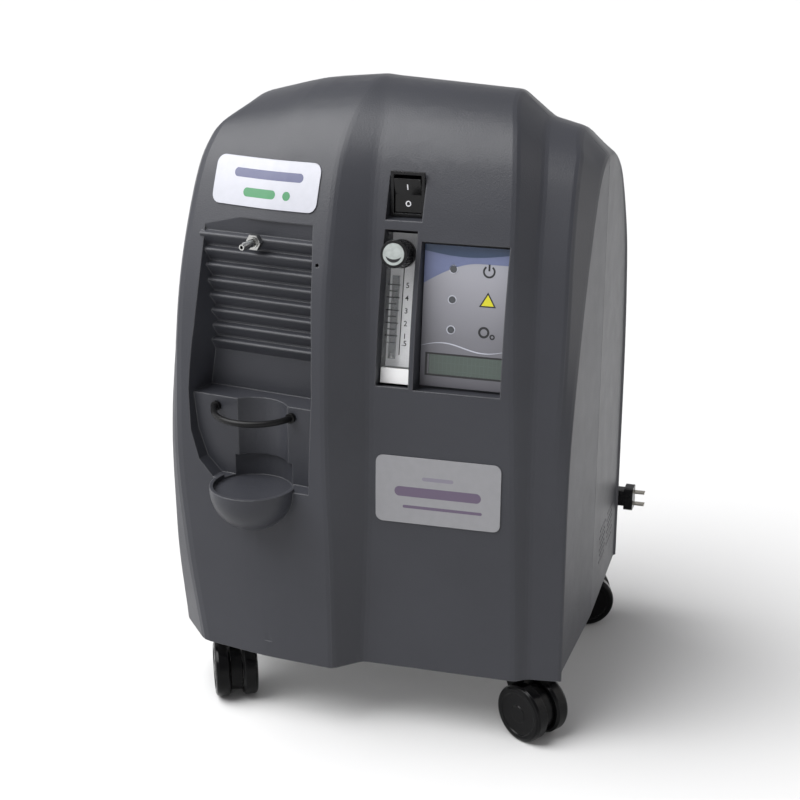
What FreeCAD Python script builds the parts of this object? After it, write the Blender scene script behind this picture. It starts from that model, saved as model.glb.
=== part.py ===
"""Oxygen concentrator on four twin-wheel casters, with its covers, controls and working parts.

Millimetres. X to the right seen from the front, Y to the back, Z up. The origin is on the floor
under the middle of the machine.
"""

import FreeCAD, Part
import math
import os

Vec = FreeCAD.Vector
X_AXIS = Vec(1, 0, 0)
Y_AXIS = Vec(0, 1, 0)
Z_AXIS = Vec(0, 0, 1)

doc = FreeCAD.newDocument("oxygen_concentrator")

# ---------------------------------------------------------------------------------------------
# Driving dimensions
# ---------------------------------------------------------------------------------------------

DIMENSIONS = [
    # covers
    ("half_width", 173, "half of the width over the covers"),
    ("base_level", 58, "height of the lower edge of the covers"),
    ("front_plane", -128, "front face of the right column near the floor"),
    ("seam_plane", 14, "where front and rear cover meet"),
    ("seam_gap", 0.6, "open line between the covers"),
    ("wall", 3, "wall of the covers"),
    ("side_draft_front", 0.035, "how much the right side narrows towards the front"),
    ("side_draft_back", 0.02, "how much the right side narrows towards the back"),
    # bottle niche
    ("niche_yaw", 8.5, "turn of the left column's face about the vertical"),
    ("niche_x", -86, "middle of the bottle place"),
    ("niche_back", -96, "louvred back wall at the middle of the niche"),
    ("block_front", -121, "face of the block under the ledge"),
    ("ledge_level", 281, "top of the ledge"),
    ("floor_level", 213, "floor of the niche"),
    ("bottle_radius", 30, "bottle recess"),
    ("cup_radius", 36, "outside of the bottle cup"),
    ("cup_y", -140, "axis of the bottle cup"),
    ("louvre_count", 8, "ribs on the back wall"),
    ("louvre_pitch", 12.9, "from rib to rib"),
    ("louvre_top", 413, "nose of the top rib"),
    ("strap_radius", 2.6, "rubber strap"),
    # controls
    ("switch_w", 30, "switch pocket width"),
    ("switch_h", 38, "switch pocket height"),
    ("flow_w", 27, "flowmeter pocket width"),
    ("flow_h", 125, "flowmeter pocket height"),
    ("block_w", 25, "clear block of the flowmeter, width"),
    ("block_h", 121, "clear block of the flowmeter, height"),
    ("block_d", 19, "clear block of the flowmeter, depth"),
    ("tube_radius", 3.1, "tapered bore of the flowmeter"),
    ("float_radius", 2.3, "ball of the flowmeter"),
    ("knob_radius", 11, "flow knob"),
    ("knob_length", 24, "flow knob"),
    ("panel_w", 71, "indicator panel pocket width"),
    ("panel_h", 118, "indicator panel pocket height"),
    # casters
    ("caster_x", 130, "caster stems from the middle plane"),
    ("caster_front", -92, "front caster stems"),
    ("caster_back", 118, "rear caster stems"),
    ("wheel_radius", 25, "caster wheel"),
    ("wheel_width", 13, "one wheel of the pair"),
    ("wheel_gap", 11, "between the wheels of a pair"),
    ("trail", 20, "stem to axle"),
    # working parts
    ("tray_thick", 4, "base tray"),
    ("bed_radius", 37, "sieve bed"),
    ("bed_height", 285, "sieve bed"),
    ("bed_x", -123, "sieve beds"),
    ("motor_radius", 46, "stator housing"),
    ("motor_y", 62, "compressor shaft"),
    ("motor_z", 140, "compressor shaft"),
    ("shaft_radius", 6, "compressor shaft"),
    ("fan_size", 119, "fan frame"),
    ("fan_depth", 25, "fan frame"),
    # cord
    ("cord_radius", 3.4, "power cord"),
    ("hook_x", 92, "cord hook"),
    ("hook_z", 168, "cord hook"),
]

sheet = doc.addObject("Spreadsheet::Sheet", "Dim")
for row, (alias, number, meaning) in enumerate(DIMENSIONS, start=1):
    sheet.set(f"A{row}", meaning)
    sheet.set(f"B{row}", str(number))
    sheet.setAlias(f"B{row}", alias)
doc.recompute()


def dim(alias):
    """The number in the sheet's cell of that name."""
    return float(getattr(sheet, alias))


# ---------------------------------------------------------------------------------------------
# The covers' outer form
#
# One master line runs up the front, over the dome and down the back, in the YZ plane. Each
# station is a crease or edge that follows the master line: at some places along the line it
# has a distance from the middle plane and a depth below the master line. Flat bands lie
# between neighbouring stations.
# ---------------------------------------------------------------------------------------------

# (radius, angle at its end) of the arcs from the front's upright run to the upright back;
# the angle is that of the outward normal, 0 facing the front, 90 up, 180 facing the back.
ARCS = [(1000, 8), (500, 25), (106, 90), (80, 145), (382, 170), (700, 180)]
UPRIGHT_TOP = 190
ARC_STEP = 6
UPRIGHT_STEPS = 5


def master_line(floor):
    """Points of the master line: (y, z, normal angle), from the front's foot to the back's foot."""
    y, z, angle = dim("front_plane"), UPRIGHT_TOP, 0.0
    points = []
    for i in range(UPRIGHT_STEPS):
        points.append((y, floor + (z - floor) * i / UPRIGHT_STEPS, 0.0))
    points.append((y, z, 0.0))
    for radius, end in ARCS:
        start = math.radians(angle)
        steps = max(3, math.ceil((end - angle) / ARC_STEP))
        for i in range(1, steps + 1):
            here = start + (math.radians(end) - start) * i / steps
            points.append((
                y + radius * (math.cos(start) - math.cos(here)),
                z + radius * (math.sin(here) - math.sin(start)),
                here,
            ))
        y, z, angle = points[-1][0], points[-1][1], end
    for i in range(1, UPRIGHT_STEPS + 1):
        points.append((y, z + (floor - z) * i / UPRIGHT_STEPS, math.pi))
    return points


# Places along the master line where a station has given values: height of the master line on
# the way up, then on the way down.
UP = [58, 150, 240, 345, 420, 470, 505, 535]
DOWN = [504, 461, 418, 374, 300, 58]

# Distance from the middle plane at those places.
STATION_X = {
    "left_side": [-173] * 14,
    "left_edge": [-141, -155, -163, -164, -161, -157, -150, -128, -136, -150, -156, -158, -160, -160],
    "left_crown": [-80, -84, -88, -88, -86, -84, -80, -74, -74, -78, -80, -80, -80, -80],
    "ridge": [-17, -18, -21, -24, -27, -28, -26, -21, -20, -20, -20, -20, -20, -20],
    "valley": [4, 8, 10, 8, 4, 1, 0, -12, -12, -12, -12, -12, -12, -12],
    "right_column": [135, 133, 130, 124, 119, 115, 109, 98, 92, 88, 86, 86, 86, 86],
    "shoulder_in": [144, 143, 142, 140, 136, 133, 129, 123, 122, 126, 132, 136, 138, 138],
    "shoulder_out": [160, 161, 163, 164, 161, 159, 157, 150, 150, 154, 156, 158, 160, 160],
    "right_side": [173] * 14,
}

# Depth below the master line at the same places.
STATION_DEPTH = {
    "left_side": [36, 22, 20, 35, 46, 54, 58, 59, 50, 25, 15, 8, 7, 7],
    "left_edge": [-1, 4, 8, 10, 13, 16, 18, 19, 16, 8, 3, 1, 0, 0],
    "left_crown": [-13, -11, -10, -9, -5, -1, 2, 5, 4, 2, 0, 0, 0, 0],
    "ridge": [-18, -18, -18, -17, -11, -6, -2, 0, 0, 0, 0, 0, 0, 0],
    "valley": [2, 2, 2, 2, 2, 2, 2, 1, 1, 0, 0, 0, 0, 0],
    "right_column": [5, 5, 5, 5, 5, 6, 7, 8, 7, 4, 2, 1, 0, 0],
    "shoulder_in": [12, 12, 12, 15, 20, 24, 27, 29, 20, 8, 3, 1, 0, 0],
    "shoulder_out": [14, 14, 14, 18, 23, 28, 33, 36, 28, 12, 5, 2, 0, 0],
    "right_side": [16, 16, 17, 34, 46, 54, 58, 59, 50, 25, 15, 8, 7, 7],
}

# How far the rounding of each crease reaches to each side.
ROUNDING = {
    "left_side": 4,
    "left_edge": 6,
    "left_crown": 14,
    "ridge": 3.5,
    "valley": 3.5,
    "right_column": 3.5,
    "shoulder_in": 3,
    "shoulder_out": 3.5,
    "right_side": 3.5,
}


def smooth(places, values, at):
    """A smooth monotone curve through the values, read at one place."""
    last = len(places) - 1
    i = max(j for j in range(last) if places[j] <= at or j == 0)
    slopes = [(values[j + 1] - values[j]) / (places[j + 1] - places[j]) for j in range(last)]

    def tangent(j):
        if j == 0 or j == last:
            return slopes[min(j, last - 1)]
        before, after = slopes[j - 1], slopes[j]
        if before * after <= 0:
            return 0.0
        return 2 * before * after / (before + after)

    span = places[i + 1] - places[i]
    u = (at - places[i]) / span
    return (
        values[i] * (2 * u**3 - 3 * u**2 + 1)
        + values[i + 1] * (3 * u**2 - 2 * u**3)
        + tangent(i) * span * (u**3 - 2 * u**2 + u)
        + tangent(i + 1) * span * (u**3 - u**2)
    )


def along(z, up):
    """A number that grows steadily along the master line, from the height of its point."""
    top = UP[-1]
    return min(z, top) if up else 2 * top - min(z, top)


PLACES = [along(z, True) for z in UP] + [along(z, False) for z in DOWN]


def cover_section(point, rising, inset, draft):
    """The covers' section at one point of the master line, left to right, as 3-D points."""
    y0, z0, angle = point
    here = min(max(along(z0, rising), PLACES[0]), PLACES[-1])
    squeeze = 1 - inset / dim("half_width")
    corners = []
    for name in STATION_X:
        x = smooth(PLACES, STATION_X[name], here) * squeeze
        depth = smooth(PLACES, STATION_DEPTH[name], here) + inset
        corners.append((x, depth, ROUNDING[name]))

    def in_space(x, depth):
        y = y0 + depth * math.cos(angle)
        if x is None:
            x = squeeze * (dim("half_width") - draft * (dim("seam_plane") - y))
        return Vec(x, y, z0 - depth * math.sin(angle))

    section = []
    last = len(corners) - 1
    for i, (x, depth, reach) in enumerate(corners):
        # the two arms of the rounding end on the bands beside the crease; on a side they end
        # on the side itself
        arms = []
        for j in (i - 1, i + 1):
            if j < 0 or j > last:
                arms.append((x, depth + reach))
                continue
            dx, dd = corners[j][0] - x, corners[j][1] - depth
            share = min(reach / math.hypot(dx, dd), 0.35)
            arms.append((x + dx * share, depth + dd * share))
        middle = (
            (arms[0][0] + 2 * x + arms[1][0]) / 4,
            (arms[0][1] + 2 * depth + arms[1][1]) / 4,
        )
        for k, (px, pd) in enumerate((arms[0], middle, arms[1])):
            on_right_side = i == last and k == 2
            section.append(in_space(None if on_right_side else px, pd))
    return section


def band(one, other):
    """The surface that straight lines sweep from one curve to the other."""
    surface = Part.BSplineSurface()
    surface.buildFromPolesMultsKnots(
        [one.getPoles(), other.getPoles()],
        [2, 2],
        one.getMultiplicities(),
        [0.0, 1.0],
        one.getKnots(),
        False,
        False,
        1,
        one.Degree,
    )
    return surface.toShape()


def cover_form(inset, draft, floor):
    """The closed form of both covers together, as one solid."""
    line = master_line(floor)
    top = max(range(len(line)), key=lambda i: line[i][1])
    sections = [cover_section(p, i <= top, inset, draft) for i, p in enumerate(line)]
    lengths = [0.0]
    for a, b in zip(line, line[1:]):
        lengths.append(lengths[-1] + math.hypot(b[0] - a[0], b[1] - a[1]))
    curves = []
    for k in range(len(sections[0])):
        curve = Part.BSplineCurve()
        curve.interpolate(Points=[s[k] for s in sections], Parameters=lengths)
        curves.append(curve)
    faces = [band(a, b) for a, b in zip(curves, curves[1:])]
    for curve in (curves[0], curves[-1]):
        foot = Part.makeLine(curve.EndPoint, curve.StartPoint)
        faces.append(Part.Face(Part.Wire([curve.toShape(), foot])))
    rim = sections[0] + sections[-1][::-1]
    faces.append(Part.Face(Part.makePolygon(rim + [rim[0]])))
    shell = Part.makeShell(faces)
    shell.sewShape()
    solid = Part.Solid(shell)
    if solid.Volume < 0:
        solid.reverse()
    return solid


# ---------------------------------------------------------------------------------------------
# Helpers for the document's objects
# ---------------------------------------------------------------------------------------------

nodes = []


def node(thing, name):
    """Names a finished sub-part."""
    thing.Label = name
    nodes.append(thing)
    return thing


def bind(thing, **sizes):
    """Sets sizes: a string is an expression of the sheet's cells, a number is a fixed size."""
    for prop, size in sizes.items():
        if isinstance(size, str):
            thing.setExpression(prop, size)
        else:
            setattr(thing, prop, size)
    return thing


def place(thing, at, axis=Z_AXIS, turn=0.0):
    """Puts an object's own origin at a point, turned about an axis."""
    thing.Placement = FreeCAD.Placement(Vec(*at), FreeCAD.Rotation(axis, turn))
    return thing


def solid_feature(name, shape):
    """A Part::Feature that holds a computed shape."""
    thing = doc.addObject("Part::Feature", name)
    thing.Shape = shape
    return thing


def box(name, size, low):
    """A box from its lowest corner."""
    thing = doc.addObject("Part::Box", name)
    bind(thing, Length=size[0], Width=size[1], Height=size[2])
    return place(thing, low)


def rod(name, radius, length, at, axis="z"):
    """A cylinder that starts at a point and runs along an axis."""
    thing = doc.addObject("Part::Cylinder", name)
    bind(thing, Radius=radius, Height=length)
    if axis == "x":
        return place(thing, at, Y_AXIS, 90)
    if axis == "y":
        return place(thing, at, X_AXIS, -90)
    return place(thing, at)


def fuse(name, things):
    thing = doc.addObject("Part::MultiFuse", name)
    thing.Shapes = things
    return thing


def cut(name, base, tools):
    """The base without the tools."""
    tool = tools[0] if len(tools) == 1 else fuse(name + "_cutters", tools)
    thing = doc.addObject("Part::Cut", name)
    thing.Base = base
    thing.Tool = tool
    return thing


def common(name, one, other):
    thing = doc.addObject("Part::Common", name)
    thing.Base = one
    thing.Tool = other
    return thing


def group(name, things):
    """Separate solids that share one node."""
    thing = doc.addObject("Part::Compound", name)
    thing.Links = things
    return thing


def prism(name, outline, low, high, axis="y"):
    """A straight prism: the outline's (x, z) drawn at y = low and run to y = high, or for axis
    x its (y, z) run from x = low to x = high, or for axis z its (x, y) from z = low."""
    where = {
        "x": lambda a, b: Vec(low, a, b),
        "y": lambda a, b: Vec(a, low, b),
        "z": lambda a, b: Vec(a, b, low),
    }[axis]
    run = {"x": Vec(high - low, 0, 0), "y": Vec(0, high - low, 0), "z": Vec(0, 0, high - low)}[axis]
    points = [where(a, b) for a, b in outline]
    wire = Part.makePolygon(points + [points[0]])
    return solid_feature(name, Part.Face(wire).extrude(run))


def rounded_rectangle(x0, z0, x1, z1, radius, steps=5):
    """Points round a rectangle with rounded corners."""
    points = []
    for cx, cz, start in (
        (x1 - radius, z1 - radius, 0),
        (x0 + radius, z1 - radius, 90),
        (x0 + radius, z0 + radius, 180),
        (x1 - radius, z0 + radius, 270),
    ):
        for i in range(steps + 1):
            a = math.radians(start + 90 * i / steps)
            points.append((cx + radius * math.cos(a), cz + radius * math.sin(a)))
    return points


def bent_path(points, share=0.45):
    """Straight runs joined by tangent arcs, and the radii of the arcs."""
    pts = [Vec(*p) for p in points]
    edges = []
    radii = []
    at = pts[0]
    for a, b, c in zip(pts, pts[1:], pts[2:]):
        into, away = (b - a).normalize(), (c - b).normalize()
        turn = into.getAngle(away)
        reach = share * min((b - a).Length, (c - b).Length)
        radii.append(reach / math.tan(turn / 2))
        start, end = b - into * reach, b + away * reach
        bisector = (away - into).normalize()
        middle = b + bisector * (radii[-1] * (1 / math.cos(turn / 2) - 1))
        edges.append(Part.LineSegment(at, start).toShape())
        edges.append(Part.Arc(start, middle, end).toShape())
        at = end
    edges.append(Part.LineSegment(at, pts[-1]).toShape())
    return Part.Wire(edges), radii


def hose(points, radius):
    """A round solid along a bent path."""
    path, radii = bent_path(points)
    start = path.Edges[0]
    direction = start.tangentAt(start.FirstParameter)
    section = Part.Wire(Part.makeCircle(radius, Vec(*points[0]), direction))
    solid = path.makePipeShell([section], True, False)
    expected = math.pi * radius**2 * path.Length
    if abs(solid.Volume / expected - 1) > 0.02:
        raise RuntimeError(f"hose volume {solid.Volume} is not {expected}")
    return solid, path.Length, radii


# ---------------------------------------------------------------------------------------------
# Covers
# ---------------------------------------------------------------------------------------------

WALL = dim("wall")
FLOOR = dim("base_level")
SEAM = dim("seam_plane")
HALF_GAP = dim("seam_gap") / 2
BEYOND = 400

front_form = cover_form(0, dim("side_draft_front"), FLOOR)
front_hollow = cover_form(WALL, dim("side_draft_front"), FLOOR - 10)
back_form = cover_form(0, -dim("side_draft_back"), FLOOR)
back_hollow = cover_form(WALL, -dim("side_draft_back"), FLOOR - 10)

front_side = Part.makeBox(2 * BEYOND, BEYOND, 2 * BEYOND, Vec(-BEYOND, SEAM - HALF_GAP - BEYOND, 0))
back_side = Part.makeBox(2 * BEYOND, BEYOND, 2 * BEYOND, Vec(-BEYOND, SEAM + HALF_GAP, 0))

front_body = solid_feature("front_outside", front_form.common(front_side))
front_skin = solid_feature("front_skin", front_form.cut(front_hollow).common(front_side))
back_body = solid_feature("back_outside", back_form.common(back_side))
back_skin = solid_feature("back_skin", back_form.cut(back_hollow).common(back_side))

# --- bottle niche, in its own frame: u to the right of niche_x along the column's face -------

NICHE_BACK = dim("niche_back")
NICHE_FLOOR = dim("floor_level")
NICHE_MOUTH = -132
NICHE_MOUTH_OUTLINE = [
    (-35, 213), (-49, 226), (-58, 250), (-61, 285), (-61.5, 340), (-58, 428),
    (45.5, 428), (51, 393), (56, 339), (58, 295), (56.5, 213),
]
NICHE_BACK_OUTLINE = [
    (-33, 213), (-45, 226), (-52, 250), (-57, 281), (-48, 335), (-58, 428),
    (44, 428), (49, 393), (53.5, 339), (55.5, 295), (54.5, 213),
]


def niche_placement():
    """The niche's frame: turned about the upright through the middle of its back wall."""
    turn = FreeCAD.Rotation(Z_AXIS, -dim("niche_yaw"))
    pivot = Vec(dim("niche_x"), 0, 0)
    reference = Vec(0, NICHE_BACK, 0)
    return FreeCAD.Placement(pivot + reference - turn.multVec(reference), turn)


def in_niche(thing):
    """Turns something drawn in the niche's frame into the machine's frame."""
    thing.Placement = niche_placement().multiply(thing.Placement)
    return thing


def niche_wire(outline, y, grow=0.0):
    points = [Vec(u, y, z) for u, z in outline]
    wire = Part.makePolygon(points + [points[0]])
    return wire.makeOffset2D(grow, 2) if grow else wire


def niche_solid(grow, back):
    """The niche's hollow, or with a growth the block that its walls are cut from."""
    mouth = niche_wire(NICHE_MOUTH_OUTLINE, NICHE_MOUTH, grow)
    end = niche_wire(NICHE_BACK_OUTLINE, back, grow)
    taper = Part.makeLoft([mouth, end], True, True)
    straight = Part.Face(niche_wire(NICHE_MOUTH_OUTLINE, NICHE_MOUTH, grow)).extrude(Vec(0, -60, 0))
    return taper.fuse(straight).removeSplitter()


niche_hollow = in_niche(solid_feature("niche_hollow", niche_solid(0, NICHE_BACK)))
niche_block = in_niche(solid_feature("niche_block", niche_solid(WALL, NICHE_BACK + WALL)))

RIB_PROUD = 5.5
RIB_DROP = 10.8


def rib(nose):
    """One louvre: short top, blunt nose, long slope back to the wall."""
    outline = [
        (NICHE_BACK + 1, nose + 2.2),
        (NICHE_BACK - RIB_PROUD + 0.9, nose + 0.6),
        (NICHE_BACK - RIB_PROUD, nose - 0.4),
        (NICHE_BACK - RIB_PROUD + 0.3, nose - 1.6),
        (NICHE_BACK + 1, nose - RIB_DROP),
    ]
    return in_niche(prism(f"rib_{nose:.0f}", outline, -64, 64, axis="x"))


ribs = fuse("ribs", [
    rib(dim("louvre_top") - i * dim("louvre_pitch")) for i in range(int(dim("louvre_count")))
])
lower_block = in_niche(box("lower_block", (130, 60, 71), (-66, dim("block_front"), 210)))
bind(lower_block, Height="Dim.ledge_level - 210")
niche_fill = fuse("niche_fill", [ribs, lower_block])
niche_inside = common("niche_inside", niche_fill, niche_block)

# --- cup under the bottle ---------------------------------------------------------------------

CUP_AT = (dim("niche_x"), dim("cup_y"), NICHE_FLOOR)
CUP_PLATE = 6
cup_ball = bind(doc.addObject("Part::Sphere", "cup_ball"), Radius="Dim.cup_radius", Angle1=-90, Angle2=0)
place(cup_ball, CUP_AT)
cup_rim = rod("cup_rim", "Dim.cup_radius", 2.5, CUP_AT)
cup_outside = fuse("cup_outside", [cup_ball, cup_rim])
cup_hollow = bind(
    doc.addObject("Part::Sphere", "cup_hollow"),
    Radius="Dim.cup_radius - Dim.wall",
    Angle1=-90,
    Angle2=-math.degrees(math.asin(CUP_PLATE / (dim("cup_radius") - WALL))),
)
place(cup_hollow, CUP_AT)
cup_dish = rod("cup_dish", "Dim.cup_radius - Dim.wall", 20, (CUP_AT[0], CUP_AT[1], NICHE_FLOOR - 2))
bottle_recess = rod("bottle_recess", "Dim.bottle_radius", 100, (CUP_AT[0], CUP_AT[1], NICHE_FLOOR - 2))
front_inside = solid_feature("front_inside", front_hollow.copy())
cup_piece = cut("cup_piece", cup_outside, [front_inside])

# shallow upright groove under the cup
groove = place(
    bind(doc.addObject("Part::Cylinder", "cup_groove"), Radius=18, Height=110),
    (-78, -158.2, 72),
    X_AXIS,
    1.6,
)

# --- pockets of the right column --------------------------------------------------------------

SWITCH_AT = (28.5, -75.5, 452.5)
FLOW_AT = (27.5, -97, 363.5)
FLOW_TILT = 12.4
PANEL_AT = (80.5, -92, 359)
PANEL_TILT = 7.9
POCKET_WALL = 2.5


def upright_frame(at, tilt):
    """Placement of a face that leans back by a tilt: x right, y into the machine, z up it."""
    return FreeCAD.Placement(Vec(*at), FreeCAD.Rotation(X_AXIS, -tilt))


def in_face(thing, at, tilt):
    """Turns something drawn about a leaning face's middle into the machine's frame."""
    thing.Placement = upright_frame(at, tilt).multiply(thing.Placement)
    return thing


def pocket(name, width, height, floor, at, tilt):
    """A pocket open to the front, with the wall round and behind it."""
    hollow = box(name + "_pocket", (width, 90, height), (0, floor - 90, 0))
    block = box(
        name + "_pocket_walls",
        (f"{width} + {2 * POCKET_WALL}", 90, f"{height} + {2 * POCKET_WALL}"),
        (0, floor - 90 + POCKET_WALL, 0),
    )
    doc.recompute()
    for thing in (hollow, block):
        middle = Vec(-thing.Length.Value / 2, 0, -thing.Height.Value / 2)
        thing.Placement.Base = thing.Placement.Base + middle
        in_face(thing, at, tilt)
    return hollow, block


FLOW_DEPTH = 20.5
switch_pocket, switch_block = pocket("switch", "Dim.switch_w", "Dim.switch_h", 0, SWITCH_AT, 0)
flow_pocket, flow_block = pocket("flow", "Dim.flow_w", "Dim.flow_h", FLOW_DEPTH, FLOW_AT, FLOW_TILT)
panel_pocket, panel_block = pocket("panel", "Dim.panel_w", "Dim.panel_h", 0, PANEL_AT, PANEL_TILT)

SWITCH_HOLE = (24.6, 33)
switch_hole = box(
    "switch_hole",
    (SWITCH_HOLE[0], 20, SWITCH_HOLE[1]),
    (SWITCH_AT[0] - SWITCH_HOLE[0] / 2, SWITCH_AT[1] - 5, SWITCH_AT[2] - SWITCH_HOLE[1] / 2),
)
panel_hole = in_face(box("panel_cable_hole", (30, 20, 20), (-15, -5, -48)), PANEL_AT, PANEL_TILT)

BARB_U = -6
BARB_Z = 411
barb_hole = in_niche(rod("barb_hole", 3.6, 30, (BARB_U, NICHE_BACK - 12, BARB_Z), "y"))
pin_hole = rod("pin_hole", 1.5, 60, (-35, -150, 399), "y")

walls_inside = fuse("walls_inside", [niche_block, switch_block, flow_block, panel_block])
walls_front = common("walls_front", walls_inside, front_body)
front_solid = fuse("front_solid", [front_skin, walls_front])
front_open = cut("front_open", front_solid, [niche_hollow, switch_pocket, flow_pocket, panel_pocket])
front_filled = fuse("front_filled", [front_open, niche_inside, cup_piece])
node(
    cut("front_cover", front_filled, [
        bottle_recess, cup_dish, cup_hollow, groove, switch_hole, panel_hole, barb_hole, pin_hole,
    ]),
    "front_cover",
)
doc.recompute()

# --- rear cover: intake bay, grip, side vents, cord hook, cord outlet ------------------------

BACK_LINE = [(y, z) for y, z, angle in master_line(FLOOR) if angle > math.pi / 2]
BACK_FACE = BACK_LINE[-1][0]


def back_y(height):
    """Depth of the rear face's middle at a height."""
    for (y0, z0), (y1, z1) in zip(BACK_LINE, BACK_LINE[1:]):
        if z1 <= height <= z0:
            return y0 + (y1 - y0) * (z0 - height) / (z0 - z1)
    return BACK_FACE


def bay(name, low, high, floor_y, wall):
    """A bay open to the back: its hollow and the block its walls are cut from."""
    size = (high[0] - low[0], 120, high[1] - low[1])
    hollow = box(name + "_bay", size, (low[0], floor_y, low[1]))
    block = box(
        name + "_bay_block",
        (size[0] + 2 * wall, 120, size[2] + 2 * wall),
        (low[0] - wall, floor_y - wall, low[1] - wall),
    )
    return hollow, block


INTAKE_LOW = (-146, 112)
INTAKE_HIGH = (-26, 228)
BAY_DEPTH = 17
GRIP_LOW = (-62, 402)
GRIP_HIGH = (62, 449)
intake_bay, intake_block = bay("intake", INTAKE_LOW, INTAKE_HIGH, BACK_FACE - BAY_DEPTH, 2)
grip_bay, grip_block = bay("grip", GRIP_LOW, GRIP_HIGH, 68, WALL)
intake_window = box("intake_window", (96, 60, 92), (-134, 120, 124))

DOOR_GAP = 0.6
DOOR_THICK = 4
DOOR_PIN = 1.5
door_low = (INTAKE_LOW[0] + DOOR_GAP, INTAKE_LOW[1] + DOOR_GAP)
door_high = (INTAKE_HIGH[0] - DOOR_GAP, INTAKE_HIGH[1] - DOOR_GAP)
HINGE_RADIUS = 3
HINGE_AT = (BACK_FACE - 3.6, door_low[1] + 3.2)
pin_holes = rod("door_pin_holes", DOOR_PIN + 0.05, 125, (INTAKE_LOW[0] - 2.5, *HINGE_AT), "x")

VENT_RADIUS = 1.7
VENT_PITCH = 6.6
VENT_COLUMNS = 5
VENT_ROWS = 6
VENT_PATCHES = [(53, 93), (96, 93)]
vents = []
for y0, z0 in VENT_PATCHES:
    for i in range(VENT_COLUMNS):
        for j in range(VENT_ROWS):
            y = y0 + (i + 0.5 * (j % 2)) * VENT_PITCH
            z = z0 + j * VENT_PITCH * 0.9
            vents.append(rod(f"vent_{len(vents)}", VENT_RADIUS, 20, (160, y, z), "x"))

PLUG_Y = 167
PLUG_Z = 113.5
PLUG_NECK = 6
OUTLET_AT = (-16, 167, 88)
GLAND_RADIUS = 5.5
outlet_block = box(
    "cord_outlet",
    (24, 18, 19),
    (OUTLET_AT[0] - 24, BACK_FACE - 1.5, OUTLET_AT[2] - 9.5),
)
gland_hole = rod("gland_hole", GLAND_RADIUS, 14, (OUTLET_AT[0] - 12, OUTLET_AT[1], OUTLET_AT[2]), "x")

SCREWS = [(-150, 78), (150, 78), (-150, 252), (150, 262), (-60, 330), (60, 330)]
SCREW_HEAD = 4
SCREW_SINK = 1.8
screw_holes = []
screw_sinks = []
screws = []
for i, (x, z) in enumerate(SCREWS):
    seat = back_y(z) - SCREW_SINK
    screw_holes.append(rod(f"screw_hole_{i}", 2.2, 60, (x, 110, z), "y"))
    screw_sinks.append(rod(f"screw_sink_{i}", SCREW_HEAD + 0.4, 20, (x, seat, z), "y"))
    head = rod(f"screw_head_{i}", SCREW_HEAD, 1.6, (x, seat, z), "y")
    shank = rod(f"screw_shank_{i}", 1.9, 16, (x, seat - 15, z), "y")
    slot = box(f"screw_slot_{i}", (5, 1, 1), (x - 2.5, seat + 0.9, z - 0.5))
    screws.append(cut(f"screw_{i}", fuse(f"screw_solid_{i}", [head, shank]), [slot]))

back_walls = common("back_walls", fuse("back_blocks", [intake_block, grip_block]), back_body)
back_solid = fuse("back_solid", [back_skin, back_walls, outlet_block])
node(
    cut("rear_cover", back_solid, [
        intake_bay, intake_window, pin_holes, grip_bay, gland_hole,
        *vents, *screw_holes, *screw_sinks,
    ]),
    "rear_cover",
)
node(group("cover_screws", screws), "cover_screws")

# --- pieces on the rear cover -----------------------------------------------------------------

GRIP_LENGTH = GRIP_HIGH[0] - GRIP_LOW[0]
node(rod("grip_bar", 8.5, GRIP_LENGTH, (GRIP_LOW[0], 110, 437), "x"), "rear_grip")

# the cord is put away on a round hook, and its plug in a cradle beside it
HOOK_RADIUS = 23
HOOK_SEAT = BACK_FACE + 0.25
HOOK_AT = (dim("hook_x"), HOOK_SEAT, dim("hook_z"))
HOOK_REACH = 14.15
LIP = 2.4
hook_boss = rod("hook_boss", HOOK_RADIUS, HOOK_REACH, HOOK_AT, "y")
hook_lip = rod("hook_lip", HOOK_RADIUS + 5, LIP, (HOOK_AT[0], HOOK_SEAT + HOOK_REACH, HOOK_AT[2]), "y")
hook_hollow = rod("hook_hollow", HOOK_RADIUS - WALL, 38, (HOOK_AT[0], HOOK_SEAT + WALL, HOOK_AT[2]), "y")
hook = cut("hook", fuse("hook_solid", [hook_boss, hook_lip]), [hook_hollow])
CRADLE_LOW = PLUG_Z - PLUG_NECK - 4
cradle_arm = box("cradle_arm", (10, 16.5, 4), (150, HOOK_SEAT, CRADLE_LOW))
cradle_lip = box("cradle_lip", (10, 2.8, 8), (150, PLUG_Y + PLUG_NECK + 0.2, CRADLE_LOW))
node(group("hook_and_cradle", [hook, fuse("cradle", [cradle_arm, cradle_lip])]), "cord_hook")

# louvred intake door, hinged along its lower edge, over its foam
DOOR_WIDTH = door_high[0] - door_low[0]
door_plate = box(
    "door_plate",
    (DOOR_WIDTH, DOOR_THICK, door_high[1] - door_low[1] - 4),
    (door_low[0], BACK_FACE - DOOR_THICK - 0.6, door_low[1] + 4),
)
door_hinge = rod("door_hinge", HINGE_RADIUS, DOOR_WIDTH, (door_low[0], *HINGE_AT), "x")
door_pin = rod("door_pin", DOOR_PIN, DOOR_WIDTH + 4, (door_low[0] - 2, *HINGE_AT), "x")
SLOT_COUNT = 9
SLOT_LOWEST = 128
door_cuts = [
    box(f"door_slot_{i}", (84, 20, 4.5), (-128, BACK_FACE - 12, SLOT_LOWEST + i * 10))
    for i in range(SLOT_COUNT)
]
door_cuts.append(box("door_notch", (26, 20, 6), (-99, BACK_FACE - 12, door_high[1] - 5)))
node(cut("intake_door", fuse("door_solid", [door_plate, door_hinge, door_pin]), door_cuts), "intake_door")
node(box("intake_foam", (114, 10, 104), (-143, BACK_FACE - BAY_DEPTH, 118)), "intake_foam")

# --- base tray --------------------------------------------------------------------------------

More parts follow.
